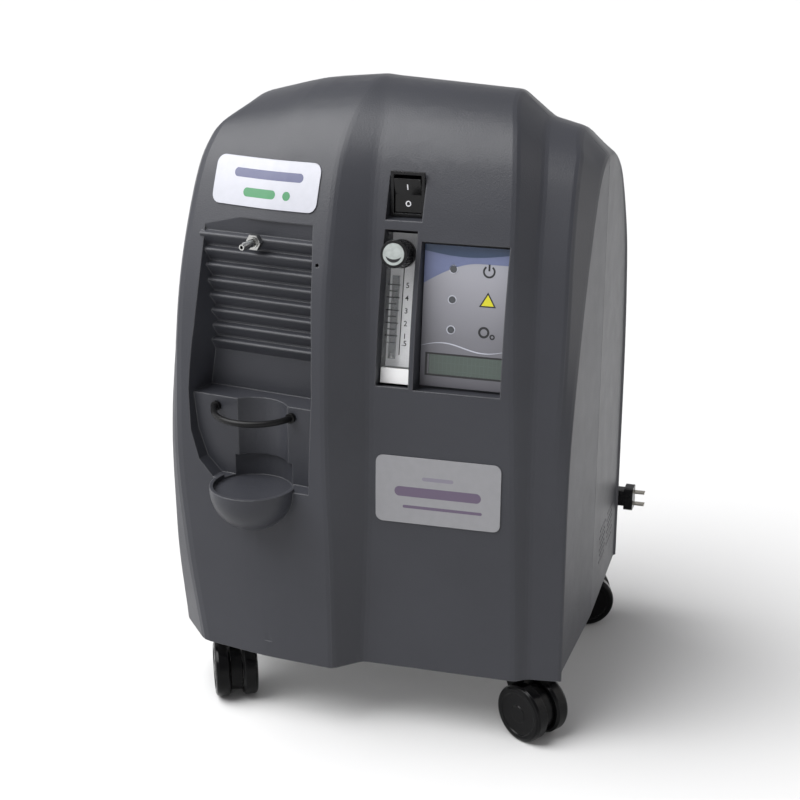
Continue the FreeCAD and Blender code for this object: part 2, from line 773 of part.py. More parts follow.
TRAY_LOW = 60
tray_slab = Part.makeBox(2 * BEYOND, 2 * BEYOND, dim("tray_thick"), Vec(-BEYOND, -BEYOND, TRAY_LOW))
TRAY_GAP = 0.15
tray_inset = WALL + TRAY_GAP
tray_front = cover_form(tray_inset, dim("side_draft_front"), FLOOR - 10).common(tray_slab).common(front_side)
tray_back = cover_form(tray_inset, -dim("side_draft_back"), FLOOR - 10).common(tray_slab).common(back_side)
tray_seam = Part.makeBox(336, 2, dim("tray_thick"), Vec(-168, SEAM - 1, TRAY_LOW))
tray_plate = solid_feature("tray_plate", tray_front.fuse([tray_back, tray_seam]).removeSplitter())
CASTER_PLACES = {
    "front_left": (-dim("caster_x"), dim("caster_front"), -63),
    "front_right": (dim("caster_x"), dim("caster_front"), -32),
    "rear_right": (dim("caster_x"), dim("caster_back"), 18),
    "rear_left": (-dim("caster_x"), dim("caster_back"), 205),
}
SOCKET_RADIUS = 9
socket_holes = [
    rod(f"socket_hole_{name}", SOCKET_RADIUS + 0.05, 20, (x, y, 55))
    for name, (x, y, _) in CASTER_PLACES.items()
]
corner_notch = box("corner_notch", (8, 8, 20), (164, -111, TRAY_LOW - 5))
node(cut("base_tray", tray_plate, [*socket_holes, corner_notch]), "base_tray")

# ---------------------------------------------------------------------------------------------
# Casters
# ---------------------------------------------------------------------------------------------

STEM_RADIUS = 5
AXLE_RADIUS = 3
HOOD_LEVEL = 51
sockets = []
for name, (x, y, _) in CASTER_PLACES.items():
    sleeve = rod(f"sleeve_{name}", SOCKET_RADIUS, 31, (x, y, 59))
    flange = rod(f"flange_{name}", 14, 3, (x, y, 57))
    bore = rod(f"bore_{name}", STEM_RADIUS + 0.05, 60, (x, y, 50))
    sockets.append(cut(f"socket_{name}", fuse(f"socket_solid_{name}", [sleeve, flange]), [bore]))
node(group("caster_sockets", sockets), "caster_sockets")


def wheel_body(name):
    """One wheel with rounded shoulders and a raised hub ring, turned about the Y axis."""
    body = doc.addObject("PartDesign::Body", name)
    plane = next(f for f in body.Origin.OriginFeatures if f.Role == "XZ_Plane")
    sketch = body.newObject("Sketcher::SketchObject", name + "_section")
    sketch.AttachmentSupport = [(plane, "")]
    sketch.MapMode = "FlatFace"
    radius, width = dim("wheel_radius"), dim("wheel_width")
    low = dim("wheel_gap") / 2
    shoulder = 3
    # the section lies in the XZ plane: x is the radius, z is along the axle
    outline = [
        (0, low), (radius - 2, low), (radius, low + 2), (radius, low + width - shoulder),
        (radius - 1, low + width - 1), (radius - shoulder, low + width),
        (radius - 6, low + width), (radius - 7, low + width - 0.8), (8, low + width - 0.8),
        (7, low + width), (0, low + width),
    ]
    for a, b in zip(outline, outline[1:] + outline[:1]):
        sketch.addGeometry(Part.LineSegment(Vec(*a, 0), Vec(*b, 0)), False)
    turned = body.newObject("PartDesign::Revolution", name + "_turned")
    turned.Profile = sketch
    turned.ReferenceAxis = (sketch, ["V_Axis"])
    turned.Angle = 360
    body.Tip = turned
    return body


def caster(name, x, y, heading):
    """A hood that swivels on its stem, and a pair of wheels on one axle."""
    radius = dim("wheel_radius")
    web_half = dim("wheel_gap") / 2 - 0.7
    stem = rod(f"stem_{name}", STEM_RADIUS, 33, (0, 0, HOOD_LEVEL + 3.5))
    crown = rod(f"crown_{name}", 12, 4.8, (0, 0, HOOD_LEVEL))
    web = rod(f"web_{name}", 20, 2 * web_half, (dim("trail"), -web_half, radius), "y")
    neck = prism(
        f"neck_{name}",
        [(-8, HOOD_LEVEL + 1), (-8, 42), (4, 18), (24, 30), (12, HOOD_LEVEL + 1)],
        -web_half, web_half,
    )
    axle_hole = rod(f"axle_hole_{name}", AXLE_RADIUS + 0.06, 40, (dim("trail"), -20, radius), "y")
    hood = cut(f"hood_{name}", fuse(f"hood_solid_{name}", [stem, crown, web, neck]), [axle_hole])
    left = wheel_body(f"wheel_a_{name}")
    right = wheel_body(f"wheel_b_{name}")
    left.Placement = FreeCAD.Placement(Vec(dim("trail"), 0, radius), FreeCAD.Rotation(X_AXIS, -90))
    right.Placement = FreeCAD.Placement(Vec(dim("trail"), 0, radius), FreeCAD.Rotation(X_AXIS, 90))
    axle_from = (dim("trail"), -dim("wheel_gap") / 2 - 2, radius)
    axle = rod(f"axle_{name}", AXLE_RADIUS, dim("wheel_gap") + 4, axle_from, "y")
    pair = fuse(f"pair_{name}", [left, right, axle])
    for thing in (hood, pair):
        place(thing, (x, y, 0), Z_AXIS, heading)
    node(hood, f"caster_hood_{name}")
    node(pair, f"caster_wheels_{name}")


for name, (x, y, heading) in CASTER_PLACES.items():
    caster(name, x, y, heading)

# ---------------------------------------------------------------------------------------------
# Niche fittings
# ---------------------------------------------------------------------------------------------

STRAP_Z = 272
STRAP_ENDS = (-37, 34)
STRAP_BULGE = -150
strap_face = dim("block_front")
strap_arc = Part.Arc(
    Vec(STRAP_ENDS[0], strap_face - 3, STRAP_Z),
    Vec((STRAP_ENDS[0] + STRAP_ENDS[1]) / 2, STRAP_BULGE, STRAP_Z - 1),
    Vec(STRAP_ENDS[1], strap_face - 3, STRAP_Z),
).toShape()
strap_start = strap_arc.tangentAt(strap_arc.FirstParameter)
strap_ring = Part.Wire(Part.makeCircle(dim("strap_radius"), strap_arc.Vertexes[0].Point, strap_start))
strap = in_niche(solid_feature("strap", Part.Wire(strap_arc).makePipeShell([strap_ring], True, False)))
node(strap, "bottle_strap")
studs = []
for i, u in enumerate(STRAP_ENDS):
    stud = rod(f"stud_{i}", 4.2, 3.4, (u, strap_face - 3.4, STRAP_Z), "y")
    studs.append(in_niche(stud))
studs_cut = []
for i, stud in enumerate(studs):
    bite = doc.addObject("Part::Feature", f"strap_bite_{i}")
    bite.Shape = strap.Shape
    studs_cut.append(cut(f"stud_cut_{i}", stud, [bite]))
node(group("strap_studs", studs_cut), "strap_studs")

NUT_REACH = 6.9
nut_outline = [
    (BARB_U + NUT_REACH * math.cos(math.pi * i / 3), BARB_Z + NUT_REACH * math.sin(math.pi * i / 3))
    for i in range(6)
]
NUT_FACE = NICHE_BACK - RIB_PROUD
nut_block = prism("nut_block", nut_outline, NUT_FACE - 5, NUT_FACE)
nut_hole = rod("nut_hole", 3.6, 20, (BARB_U, NUT_FACE - 12, BARB_Z), "y")
node(in_niche(cut("outlet_nut", nut_block, [nut_hole])), "outlet_nut")
barb_parts = [
    rod("barb_shank", 3.5, 24, (BARB_U, NUT_FACE - 7, BARB_Z), "y"),
    rod("barb_collar", 4.6, 2, (BARB_U, NUT_FACE - 7.2, BARB_Z), "y"),
    rod("barb_nose", 2.4, 17, (BARB_U, NUT_FACE - 23, BARB_Z), "y"),
]
for i in range(3):
    cone = bind(doc.addObject("Part::Cone", f"barb_ring_{i}"), Radius1=2.4, Radius2=3.4, Height=4.2)
    barb_parts.append(place(cone, (BARB_U, NUT_FACE - 22.5 + i * 5, BARB_Z), X_AXIS, -90))
barb_bore = rod("barb_bore", 1.4, 60, (BARB_U, NUT_FACE - 30, BARB_Z), "y")
node(in_niche(cut("outlet_barb", fuse("barb_solid", barb_parts), [barb_bore])), "outlet_barb")

# name plates that follow the covers
PLATE_GAP = 0.1
PLATE_THICK = 0.8


def name_plate(name, corner_low, corner_high, radius):
    """A thin blank plate that lies on the front cover's face."""
    outline = rounded_rectangle(corner_low[0], corner_low[1], corner_high[0], corner_high[1], radius)
    column = prism(name + "_column", outline, -170, 0).Shape
    outside = cover_form(-PLATE_GAP - PLATE_THICK, dim("side_draft_front"), FLOOR)
    inside = cover_form(-PLATE_GAP, dim("side_draft_front"), FLOOR)
    node(solid_feature(name, column.common(outside).cut(inside)), name)


name_plate("lower_name_plate", (16, 191), (120, 248), 6)
name_plate("upper_name_plate", (-138.5, 437), (-41.5, 473.5), 7)

# ---------------------------------------------------------------------------------------------
# Controls of the right column
# ---------------------------------------------------------------------------------------------

# --- rocker switch: pressed off, its upper half stands out -----------------------------------

BEZEL = (28, 2.5, 36)
SWITCH_BODY = (24.4, 27.5, 32.8)
CAVITY = (23, 31)
ROCKER_WIDTH = 22
ROCKER_Y = -69
ROCKER_TILT = 8
PIVOT_RADIUS = 1.5


def centred_box(name, width, height, y0, y1, at):
    """A box from y0 to y1 whose face is centred on a point's x and z."""
    return box(name, (width, y1 - y0, height), (at[0] - width / 2, y0, at[2] - height / 2))


bezel = centred_box("bezel", BEZEL[0], BEZEL[2], SWITCH_AT[1] - BEZEL[1], SWITCH_AT[1], SWITCH_AT)
switch_back = centred_box(
    "switch_back", SWITCH_BODY[0], SWITCH_BODY[2], SWITCH_AT[1], SWITCH_AT[1] + SWITCH_BODY[1], SWITCH_AT
)
switch_cavity = centred_box("switch_cavity", CAVITY[0], CAVITY[1], -85, -62.5, SWITCH_AT)
pivot_bore = rod("pivot_bore", PIVOT_RADIUS + 0.05, 30, (SWITCH_AT[0] - 15, ROCKER_Y, SWITCH_AT[2]), "x")
node(
    cut("switch_housing", fuse("switch_solid", [bezel, switch_back]), [switch_cavity, pivot_bore]),
    "switch_housing",
)
ROCKER_OUTLINE = [(-9, 14), (-6.6, 0), (-9, -14), (-3, -13.4), (3, -6), (3, 6), (-3, 13.4)]
rocker_body = prism("rocker_body", ROCKER_OUTLINE, -ROCKER_WIDTH / 2, ROCKER_WIDTH / 2, axis="x")
rocker_pin = rod("rocker_pin", PIVOT_RADIUS, SWITCH_BODY[0] - 0.4, (-SWITCH_BODY[0] / 2 + 0.2, 0, 0), "x")
rocker = fuse("rocker", [rocker_body, rocker_pin])
place(rocker, (SWITCH_AT[0], ROCKER_Y, SWITCH_AT[2]), X_AXIS, ROCKER_TILT)
node(rocker, "switch_rocker")

# --- flowmeter: clear block with a ball in its bore, and a valve knob ------------------------

BLOCK_FACE = -0.5
BASE_HEIGHT = 12.5
BLOCK_BOTTOM = -dim("block_h") / 2
KNOB_RISE = 44
STEM = 4
BORE_AT = (-6, 6)
BORE_LOW = -41
BORE_HIGH = 26


def on_flow(thing):
    return in_face(thing, FLOW_AT, FLOW_TILT)


flow_solid = box(
    "flow_solid",
    ("Dim.block_w", FLOW_DEPTH - BLOCK_FACE, f"Dim.block_h - {BASE_HEIGHT}"),
    (-dim("block_w") / 2, BLOCK_FACE, BLOCK_BOTTOM + BASE_HEIGHT),
)
flow_bore = rod("flow_bore", "Dim.tube_radius", BORE_HIGH - BORE_LOW, (*BORE_AT, BORE_LOW))
stem_bore = rod("stem_bore", STEM + 0.05, 40, (0, BLOCK_FACE - 20, KNOB_RISE), "y")
node(on_flow(cut("flow_block", flow_solid, [flow_bore, stem_bore])), "flow_block")
flow_foot = box(
    "flow_foot",
    ("Dim.block_w", FLOW_DEPTH - BLOCK_FACE, BASE_HEIGHT),
    (-dim("block_w") / 2, BLOCK_FACE, BLOCK_BOTTOM),
)
node(on_flow(flow_foot), "flow_base")
FLOAT_LOW = BORE_LOW + 0.4
flow_ball = bind(doc.addObject("Part::Sphere", "flow_ball"), Radius="Dim.float_radius")
place(flow_ball, (*BORE_AT, FLOAT_LOW + dim("float_radius")))
node(on_flow(flow_ball), "flow_float")

KNOB_NEAR = BLOCK_FACE - 1
KNOB_GRIPS = 24
KNOB_FAR = KNOB_NEAR - dim("knob_length")
knob_barrel = rod("knob_barrel", "Dim.knob_radius", "Dim.knob_length", (0, KNOB_FAR, 0), "y")
knob_skirt = rod("knob_skirt", 11.6, 4, (0, KNOB_NEAR - 4, 0), "y")
knob_stem = rod("knob_stem", STEM, 19, (0, KNOB_NEAR - 2, 0), "y")
knob_grooves = []
for i in range(KNOB_GRIPS):
    turn = 2 * math.pi * i / KNOB_GRIPS
    reach = dim("knob_radius") + 0.35
    knob_grooves.append(rod(
        f"knob_groove_{i}", 0.9, 19,
        (reach * math.cos(turn), KNOB_FAR + 1, reach * math.sin(turn)), "y",
    ))
knob = cut("flow_knob", fuse("knob_solid", [knob_barrel, knob_skirt, knob_stem]), knob_grooves)
knob_cap = rod("knob_cap", 8.7, 0.8, (0, KNOB_FAR - 0.8, 0), "y")
for thing in (knob, knob_cap):
    thing.Placement.Base = thing.Placement.Base + Vec(0, 0, KNOB_RISE)
    on_flow(thing)
node(knob, "flow_knob")
node(knob_cap, "knob_cap")

# --- indicator panel: plate, three lamps and a window ----------------------------------------

PLATE = (69, 3, 114)
WINDOW = (60, 17)
WINDOW_AT = (2.5, -38.9)
LAMP_RADIUS = 2.7
LAMP_X = -10.5
LAMP_RISES = [38.4, 14.1, -10.1]


def on_panel(thing):
    return in_face(thing, PANEL_AT, PANEL_TILT)


def panel_box(name, size, y0, y1, middle=(0, 0)):
    corner = (middle[0] - size[0] / 2, y0, middle[1] - size[1] / 2)
    return box(name, (size[0], y1 - y0, size[1]), corner)


panel_slab = panel_box("panel_slab", (PLATE[0], PLATE[2]), -PLATE[1], 0)
WINDOW_THICK = 1.2
RECESS = (WINDOW[0] + 0.2, WINDOW[1] + 0.2)
window_recess = panel_box("window_recess", RECESS, -10, WINDOW_THICK - PLATE[1], WINDOW_AT)
lamp_holes = [
    rod(f"lamp_hole_{i}", LAMP_RADIUS + 0.05, 20, (LAMP_X, -10, z), "y")
    for i, z in enumerate(LAMP_RISES)
]
node(on_panel(cut("panel_face", panel_slab, [window_recess, *lamp_holes])), "panel_plate")
window_slab = panel_box("window", WINDOW, -PLATE[1], WINDOW_THICK - PLATE[1], WINDOW_AT)
node(on_panel(window_slab), "display_window")
lamps = [
    on_panel(rod(f"lamp_{i}", LAMP_RADIUS, PLATE[1] + 0.6, (LAMP_X, -PLATE[1] - 0.6, z), "y"))
    for i, z in enumerate(LAMP_RISES)
]
node(group("indicator_lamps", lamps), "indicator_lamps")

# ---------------------------------------------------------------------------------------------
# Power cord, put away on the hook
# ---------------------------------------------------------------------------------------------

CORD_RADIUS = dim("cord_radius")
COIL_OUTER = 52.5
COIL_INNER = 24.5
COIL_DEPTH = 14
COIL_Z = HOOK_AT[2] + HOOK_RADIUS - COIL_INNER
COIL_BACK = BACK_FACE + 0.1
RELIEF_LENGTH = 28
RELIEF_TIP = 4.4

relief_plug = rod("relief_plug", GLAND_RADIUS, 11, (OUTLET_AT[0] - 11, OUTLET_AT[1], OUTLET_AT[2]), "x")
relief_cone = doc.addObject("Part::Cone", "relief_cone")
bind(relief_cone, Radius1=6.6, Radius2=RELIEF_TIP, Height=RELIEF_LENGTH)
place(relief_cone, OUTLET_AT, Y_AXIS, 90)
relief_bore = rod(
    "relief_bore", "Dim.cord_radius", 80, (OUTLET_AT[0] - 20, OUTLET_AT[1], OUTLET_AT[2]), "x"
)
relief_solid = fuse("relief_solid", [relief_plug, relief_cone])
node(cut("cord_relief", relief_solid, [relief_bore]), "cord_relief")

SUPPLY_ROUTE = [(-26, 167, 88), (28, 167, 88), (52, 164.5, 105), (84, 162.8, 117.3)]
PLUG_ROUTE = [(98, 169.4, 117.6), (113, 168.8, 116.8), (125, 167, 113.5), (138, 167, 113.5)]
runs = []
for name, route in (("supply_run", SUPPLY_ROUTE), ("plug_run", PLUG_ROUTE)):
    shape, length, radii = hose(route, CORD_RADIUS)
    print(name, "length", round(length, 1), "radii", [round(r, 1) for r in radii])
    runs.append(solid_feature(name, shape))
node(group("cord_tube", runs), "cord_tube")

coil_disc = rod("coil_disc", COIL_OUTER, COIL_DEPTH, (HOOK_AT[0], COIL_BACK, COIL_Z), "y")
coil_eye = rod("coil_eye", COIL_INNER, 40, (HOOK_AT[0], COIL_BACK - 10, COIL_Z), "y")
node(cut("cord_coil", coil_disc, [coil_eye]), "cord_coil")

plug_cone = bind(doc.addObject("Part::Cone", "plug_cone"), Radius1=4.2, Radius2=PLUG_NECK, Height=12)
place(plug_cone, (138, PLUG_Y, PLUG_Z), Y_AXIS, 90)
plug_neck = rod("plug_neck", PLUG_NECK, 15, (150, PLUG_Y, PLUG_Z), "x")
plug_body = prism("plug_body", rounded_rectangle(-8.1, -7, 8.1, 7, 2.5), 162, 177, axis="x")
plug_flange = prism("plug_flange", rounded_rectangle(-11.2, -8.5, 11.2, 8.5, 3), 176.5, 185, axis="x")
for thing in (plug_body, plug_flange):
    turned = FreeCAD.Placement(Vec(0, PLUG_Y, PLUG_Z), FreeCAD.Rotation(X_AXIS, 90))
    thing.Placement = turned
BLADE = (22, 6.4, 1.5)
BLADE_PITCH = 12
BLADE_TIP = 195.5


def blade_pair(name):
    corner = (BLADE_TIP - BLADE[0], PLUG_Y - BLADE[1] / 2)
    rises = [PLUG_Z + side * BLADE_PITCH / 2 - BLADE[2] / 2 for side in (-1, 1)]
    return [box(f"{name}_{i}", BLADE, (*corner, rise)) for i, rise in enumerate(rises)]


plug_solid = fuse("plug_solid", [plug_cone, plug_neck, plug_body, plug_flange])
node(cut("plug", plug_solid, blade_pair("blade_slot")), "plug")
node(group("plug_blades", blade_pair("blade")), "plug_blades")

# ---------------------------------------------------------------------------------------------
# Working parts inside the covers
# ---------------------------------------------------------------------------------------------

TRAY_TOP = TRAY_LOW + dim("tray_thick")

# --- compressor: motor between two crankcases, each with one upright cylinder ----------------

MOUNT_HEIGHT = 20
PLATE_LOW = TRAY_TOP + MOUNT_HEIGHT
PLATE_TOP = PLATE_LOW + 3
MOTOR_Y = dim("motor_y")
MOTOR_Z = dim("motor_z")
STATOR = (8, 84)
CASE_LENGTH = 44
CASES = {"left": (STATOR[0] - CASE_LENGTH, 1), "right": (STATOR[1], -1)}
CASE_WALL = 4
CASE_TOP = 175
CRANK_ROOM = 24
BORE = 17
PISTON_CLEARANCE = 0.06
CYLINDER_TOP = 215
mounts = [
    rod(f"mount_{i}", 10, MOUNT_HEIGHT, (x, y, TRAY_TOP))
    for i, (x, y) in enumerate([(-30, 22), (100, 22), (-30, 104), (100, 104)])
]
node(group("rubber_mounts", mounts), "rubber_mounts")
node(box("mount_plate", (160, 104, 3), (-44, 10, PLATE_LOW)), "compressor_plate")

STATOR_LENGTH = STATOR[1] - STATOR[0]
stator_barrel = rod("stator_barrel", "Dim.motor_radius", STATOR_LENGTH, (STATOR[0], MOTOR_Y, MOTOR_Z), "x")
stator_feet = box("stator_feet", (52, 44, 24), (20, MOTOR_Y - 22, PLATE_TOP))
stator_bore = rod("stator_bore", 30, 90, (STATOR[0] - 5, MOTOR_Y, MOTOR_Z), "x")
node(cut("stator", fuse("stator_solid", [stator_barrel, stator_feet]), [stator_bore]), "motor_stator")

cases = []
cylinders = []
heads = []
rotor_parts = [
    rod("motor_shaft", "Dim.shaft_radius", 144, (-26, MOTOR_Y, MOTOR_Z), "x"),
    rod("motor_core", 29, 62, (15, MOTOR_Y, MOTOR_Z), "x"),
]
for side, (low, inward) in CASES.items():
    middle = low + CASE_LENGTH / 2
    case = box(f"case_{side}", (CASE_LENGTH, 70, CASE_TOP - PLATE_TOP), (low, MOTOR_Y - 35, PLATE_TOP))
    room_length = CASE_LENGTH - 2 * CASE_WALL
    room = rod(f"room_{side}", CRANK_ROOM, room_length, (low + CASE_WALL, MOTOR_Y, MOTOR_Z), "x")
    bearing = rod(
        f"bearing_{side}", dim("shaft_radius") + 0.05, CASE_LENGTH / 2,
        (middle if inward > 0 else low, MOTOR_Y, MOTOR_Z), "x",
    )
    throat = rod(f"throat_{side}", BORE, CASE_TOP - MOTOR_Z, (middle, MOTOR_Y, MOTOR_Z + 5))
    cases.append(cut(f"crankcase_{side}", case, [room, bearing, throat]))
    barrel = rod(f"barrel_{side}", 21.5, CYLINDER_TOP - CASE_TOP, (middle, MOTOR_Y, CASE_TOP))
    bore = rod(f"cylinder_bore_{side}", BORE, 60, (middle, MOTOR_Y, CASE_TOP - 5))
    cylinders.append(cut(f"cylinder_{side}", barrel, [bore]))
    head = box(f"head_{side}", (43, 43, 13), (middle - 21.5, MOTOR_Y - 21.5, CYLINDER_TOP))
    port = rod(f"port_{side}", 3, 10, (middle, MOTOR_Y, CYLINDER_TOP + 8))
    heads.append(cut(f"head_cut_{side}", head, [port]))
    rotor_parts.append(rod(f"eccentric_{side}", 14, 12, (middle - 6, MOTOR_Y, MOTOR_Z + 6 * inward), "x"))
    crown = rod(f"crown_{side}", BORE - PISTON_CLEARANCE, 12, (middle, MOTOR_Y, 187))
    connecting = rod(f"connecting_{side}", 4, 16, (middle, MOTOR_Y, 172))
    node(fuse(f"piston_solid_{side}", [crown, connecting]), f"piston_{side}")
node(group("crankcases", cases), "crankcase_pair")
node(group("cylinders", cylinders), "cylinder_pair")
node(group("heads", heads), "cylinder_heads")
node(fuse("rotor", rotor_parts), "motor_rotor")

# --- shelf over the compressor, with the cooling fan -----------------------------------------

SHELF_LOW = 246
SHELF_TOP = SHELF_LOW + 3
FAN_AT = (46, 62)
FAN_OPENING = 57
FAN_CORNER = 52.5
legs = [
    rod(f"leg_{i}", 4, SHELF_LOW - TRAY_TOP + 1, (x, y, TRAY_TOP))
    for i, (x, y) in enumerate([(-70, -22), (142, -22), (-70, 128), (142, 128)])
]
shelf_plate = box("shelf_plate", (226, 164, 3), (-77, -28, SHELF_LOW))
shelf_hole = rod("shelf_hole", FAN_OPENING, 20, (*FAN_AT, SHELF_LOW - 5))
hose_hole = rod("shelf_hose_hole", 4.5, 20, (139.5, MOTOR_Y, SHELF_LOW - 5))
node(cut("shelf_cut", fuse("shelf_solid", [shelf_plate, *legs]), [shelf_hole, hose_hole]), "shelf")

half_fan = dim("fan_size") / 2
fan_box = box(
    "fan_box",
    ("Dim.fan_size", "Dim.fan_size", "Dim.fan_depth"),
    (FAN_AT[0] - half_fan, FAN_AT[1] - half_fan, SHELF_TOP),
)
fan_duct = rod("fan_duct", 56.5, 60, (*FAN_AT, SHELF_TOP - 10))
corner_holes = []
for i in (-1, 1):
    for j in (-1, 1):
        corner = (FAN_AT[0] + i * FAN_CORNER, FAN_AT[1] + j * FAN_CORNER)
        corner_holes.append(rod(f"fan_corner_{i}_{j}", 2.2, 60, (*corner, SHELF_TOP - 10)))
SPIDER_HEIGHT = 3
spider = [rod("spider_hub", 21, SPIDER_HEIGHT, (*FAN_AT, SHELF_TOP))]
for i in range(4):
    arm = box(f"spider_arm_{i}", (58, 4, SPIDER_HEIGHT), (0, -2, 0))
    spider.append(place(arm, (*FAN_AT, SHELF_TOP), Z_AXIS, 45 + 90 * i))
pin_radius = 2
fan_pin = rod("fan_pin", pin_radius, 16, (*FAN_AT, SHELF_TOP + 1))
fan_shell = cut("fan_shell", fan_box, [fan_duct, *corner_holes])
node(fuse("fan_frame_solid", [fan_shell, *spider, fan_pin]), "fan_frame")

BLADE_COUNT = 7
hub_low = SHELF_TOP + SPIDER_HEIGHT + 0.8
fan_hub = rod("fan_hub", 20, 18, (*FAN_AT, hub_low))
fan_blades = []
for i in range(BLADE_COUNT):
    blade = box(f"fan_blade_{i}", (37, 1.8, 21), (17, -0.9, -10.5))
    lean = FreeCAD.Rotation(X_AXIS, 38)
    spin = FreeCAD.Rotation(Z_AXIS, 360 * i / BLADE_COUNT)
    blade.Placement = FreeCAD.Placement(Vec(*FAN_AT, hub_low + 9), spin).multiply(
        FreeCAD.Placement(Vec(0, 0, 0), lean).multiply(blade.Placement)
    )
    fan_blades.append(blade)
hub_bore = rod("hub_bore", pin_radius + 0.05, 60, (*FAN_AT, SHELF_TOP - 10))
node(cut("fan_rotor_cut", fuse("fan_rotor_solid", [fan_hub, *fan_blades]), [hub_bore]), "fan_rotor")

# three rings of cooling tube on the fan's outlet, joined by a riser
EXCHANGER_RADIUS = 58
TUBE = 4
RING_PITCH = 9
RING_LOW = SHELF_TOP + dim("fan_depth") + TUBE
RISER_TOP = 318
rings = []
for i in range(3):
    ring = bind(doc.addObject("Part::Torus", f"exchanger_ring_{i}"), Radius1=EXCHANGER_RADIUS, Radius2=TUBE)
    rings.append(place(ring, (*FAN_AT, RING_LOW + i * RING_PITCH)))
RISER_AT = (FAN_AT[0] - EXCHANGER_RADIUS, FAN_AT[1])
riser = rod("riser", TUBE - 0.3, RISER_TOP - RING_LOW, (*RISER_AT, RING_LOW))
node(fuse("exchanger", [*rings, riser]), "heat_exchanger")

# --- sieve beds, valve block and product tank ------------------------------------------------

BED_LOW = TRAY_TOP
BED_CAP = 10
BEDS = {"front": -30, "rear": 52}
BED_TOP = BED_LOW + dim("bed_height")
for name, y in BEDS.items():
    can = rod(f"can_{name}", "Dim.bed_radius", "Dim.bed_height", (dim("bed_x"), y, BED_LOW))
    caps = [
        rod(f"cap_{name}_{i}", dim("bed_radius") + 3, BED_CAP, (dim("bed_x"), y, level))
        for i, level in enumerate((BED_LOW, BED_TOP - BED_CAP))
    ]
    node(fuse(f"bed_{name}", [can, *caps]), f"sieve_bed_{name}")

VALVE_LOW = BED_TOP
valve_body = box("valve_body", (40, 108, 26), (dim("bed_x") - 20, -43, VALVE_LOW))
coils = [rod(f"solenoid_{i}", 11, 30, (dim("bed_x"), y, VALVE_LOW + 25)) for i, y in enumerate((-17, 39))]
valve_inlet = rod("valve_inlet", 4, 30, (dim("bed_x") + 15, 12, VALVE_LOW + 13), "x")
node(fuse("valve_solid", [valve_body, *coils, valve_inlet]), "valve_block")

TANK_AT = (-46, 96)
tank_can = rod("tank_can", 28, 100, (*TANK_AT, SHELF_TOP))
tank_neck = rod("tank_neck", 9, 8, (*TANK_AT, SHELF_TOP + 99))
REGULATOR_RADIUS = 14
regulator = rod("regulator_cup", REGULATOR_RADIUS, 26, (*TANK_AT, SHELF_TOP + 107))
node(fuse("tank", [tank_can, tank_neck]), "product_tank")
node(regulator, "pressure_regulator")

CANISTER_AT = (127, -8)
canister = rod("canister", 22, 80, (*CANISTER_AT, SHELF_TOP))
canister_neck = rod("canister_neck", 8, 12, (*CANISTER_AT, SHELF_TOP + 80))
node(fuse("intake_canister_solid", [canister, canister_neck]), "intake_filter")

FILTER_Y = NUT_FACE - 7 + 24
STUB_END = FILTER_Y + 25
filter_disc = rod("filter_disc", 20, 12, (BARB_U, FILTER_Y, BARB_Z), "y")
filter_stub = rod("filter_stub", 3, STUB_END - FILTER_Y - 11, (BARB_U, FILTER_Y + 11, BARB_Z), "y")
node(in_niche(fuse("filter_solid", [filter_disc, filter_stub])), "bacteria_filter")

# --- control board behind the indicator panel ------------------------------------------------

BOARD_Y = 21
board_parts = [panel_box("board", (68, 108), BOARD_Y, BOARD_Y + 1.6)]
board_parts += [
    rod(f"standoff_{i}_{j}", 3, BOARD_Y - POCKET_WALL, (30 * i, POCKET_WALL, 50 * j), "y")
    for i in (-1, 1) for j in (-1, 1)
]
board_parts.append(box("relay", (22, 16, 18), (-24, BOARD_Y + 1.6, -30)))
board_parts.append(box("oxygen_sensor", (34, 14, 28), (-4, BOARD_Y + 1.6, 0)))
board_parts.append(rod("buzzer", 7, 9, (-18, BOARD_Y + 1.6, 30), "y"))
node(on_panel(fuse("board_solid", board_parts)), "control_board")

# --- hoses ------------------------------------------------------------------------------------

def niche_point(u, y, z):
    """A point of the niche's frame, in the machine's frame."""
    return tuple(niche_placement().multVec(Vec(u, y, z)))


def flow_point(y, z):
    """A point behind the flowmeter, on its middle plane."""
    return tuple(upright_frame(FLOW_AT, FLOW_TILT).multVec(Vec(0, y, z)))


FLOW_BACK = FLOW_DEPTH + POCKET_WALL
HEAD_SIDE = CASES["right"][0] + CASE_LENGTH / 2 + 21.5
HOSES = {
    "head_to_cooler": (3, [
        (HEAD_SIDE, MOTOR_Y, 221.5),
        (139.5, MOTOR_Y, 221.5),
        (139.5, MOTOR_Y, 262),
        (128, MOTOR_Y, RING_LOW),
        (FAN_AT[0] + EXCHANGER_RADIUS + TUBE - 0.8, MOTOR_Y, RING_LOW),
    ]),
    "cooler_to_valves": (3.7, [
        (*RISER_AT, RISER_TOP),
        (*RISER_AT, 342),
        (-24, 38, 354),
        (-48, 13, 360),
        (dim("bed_x") + 45.6, 12, VALVE_LOW + 13),
    ]),
    "regulator_to_flowmeter": (3, [
        (TANK_AT[0], TANK_AT[1] - REGULATOR_RADIUS - 0.15, 375),
        (TANK_AT[0], 46, 376),
        (-18, 8, 368),
        (15, -20, 349),
        flow_point(FLOW_BACK + 34, -20),
        flow_point(FLOW_BACK, -20),
    ]),
    "flowmeter_to_filter": (3, [
        niche_point(BARB_U, STUB_END, BARB_Z),
        niche_point(BARB_U, STUB_END + 26, BARB_Z),
        (-50, -4, 404),
        (0, -4, 387),
        flow_point(FLOW_BACK + 30, 30),
        flow_point(FLOW_BACK, 30),
    ]),
}
hoses = []
for name, (radius, route) in HOSES.items():
    shape, length, radii = hose(route, radius)
    hoses.append(solid_feature(name, shape))
head_pipe = rod("head_pipe", 4, 77, (CASES["left"][0] + CASE_LENGTH / 2 + 21.5, MOTOR_Y, 221.5), "x")
hoses.append(head_pipe)
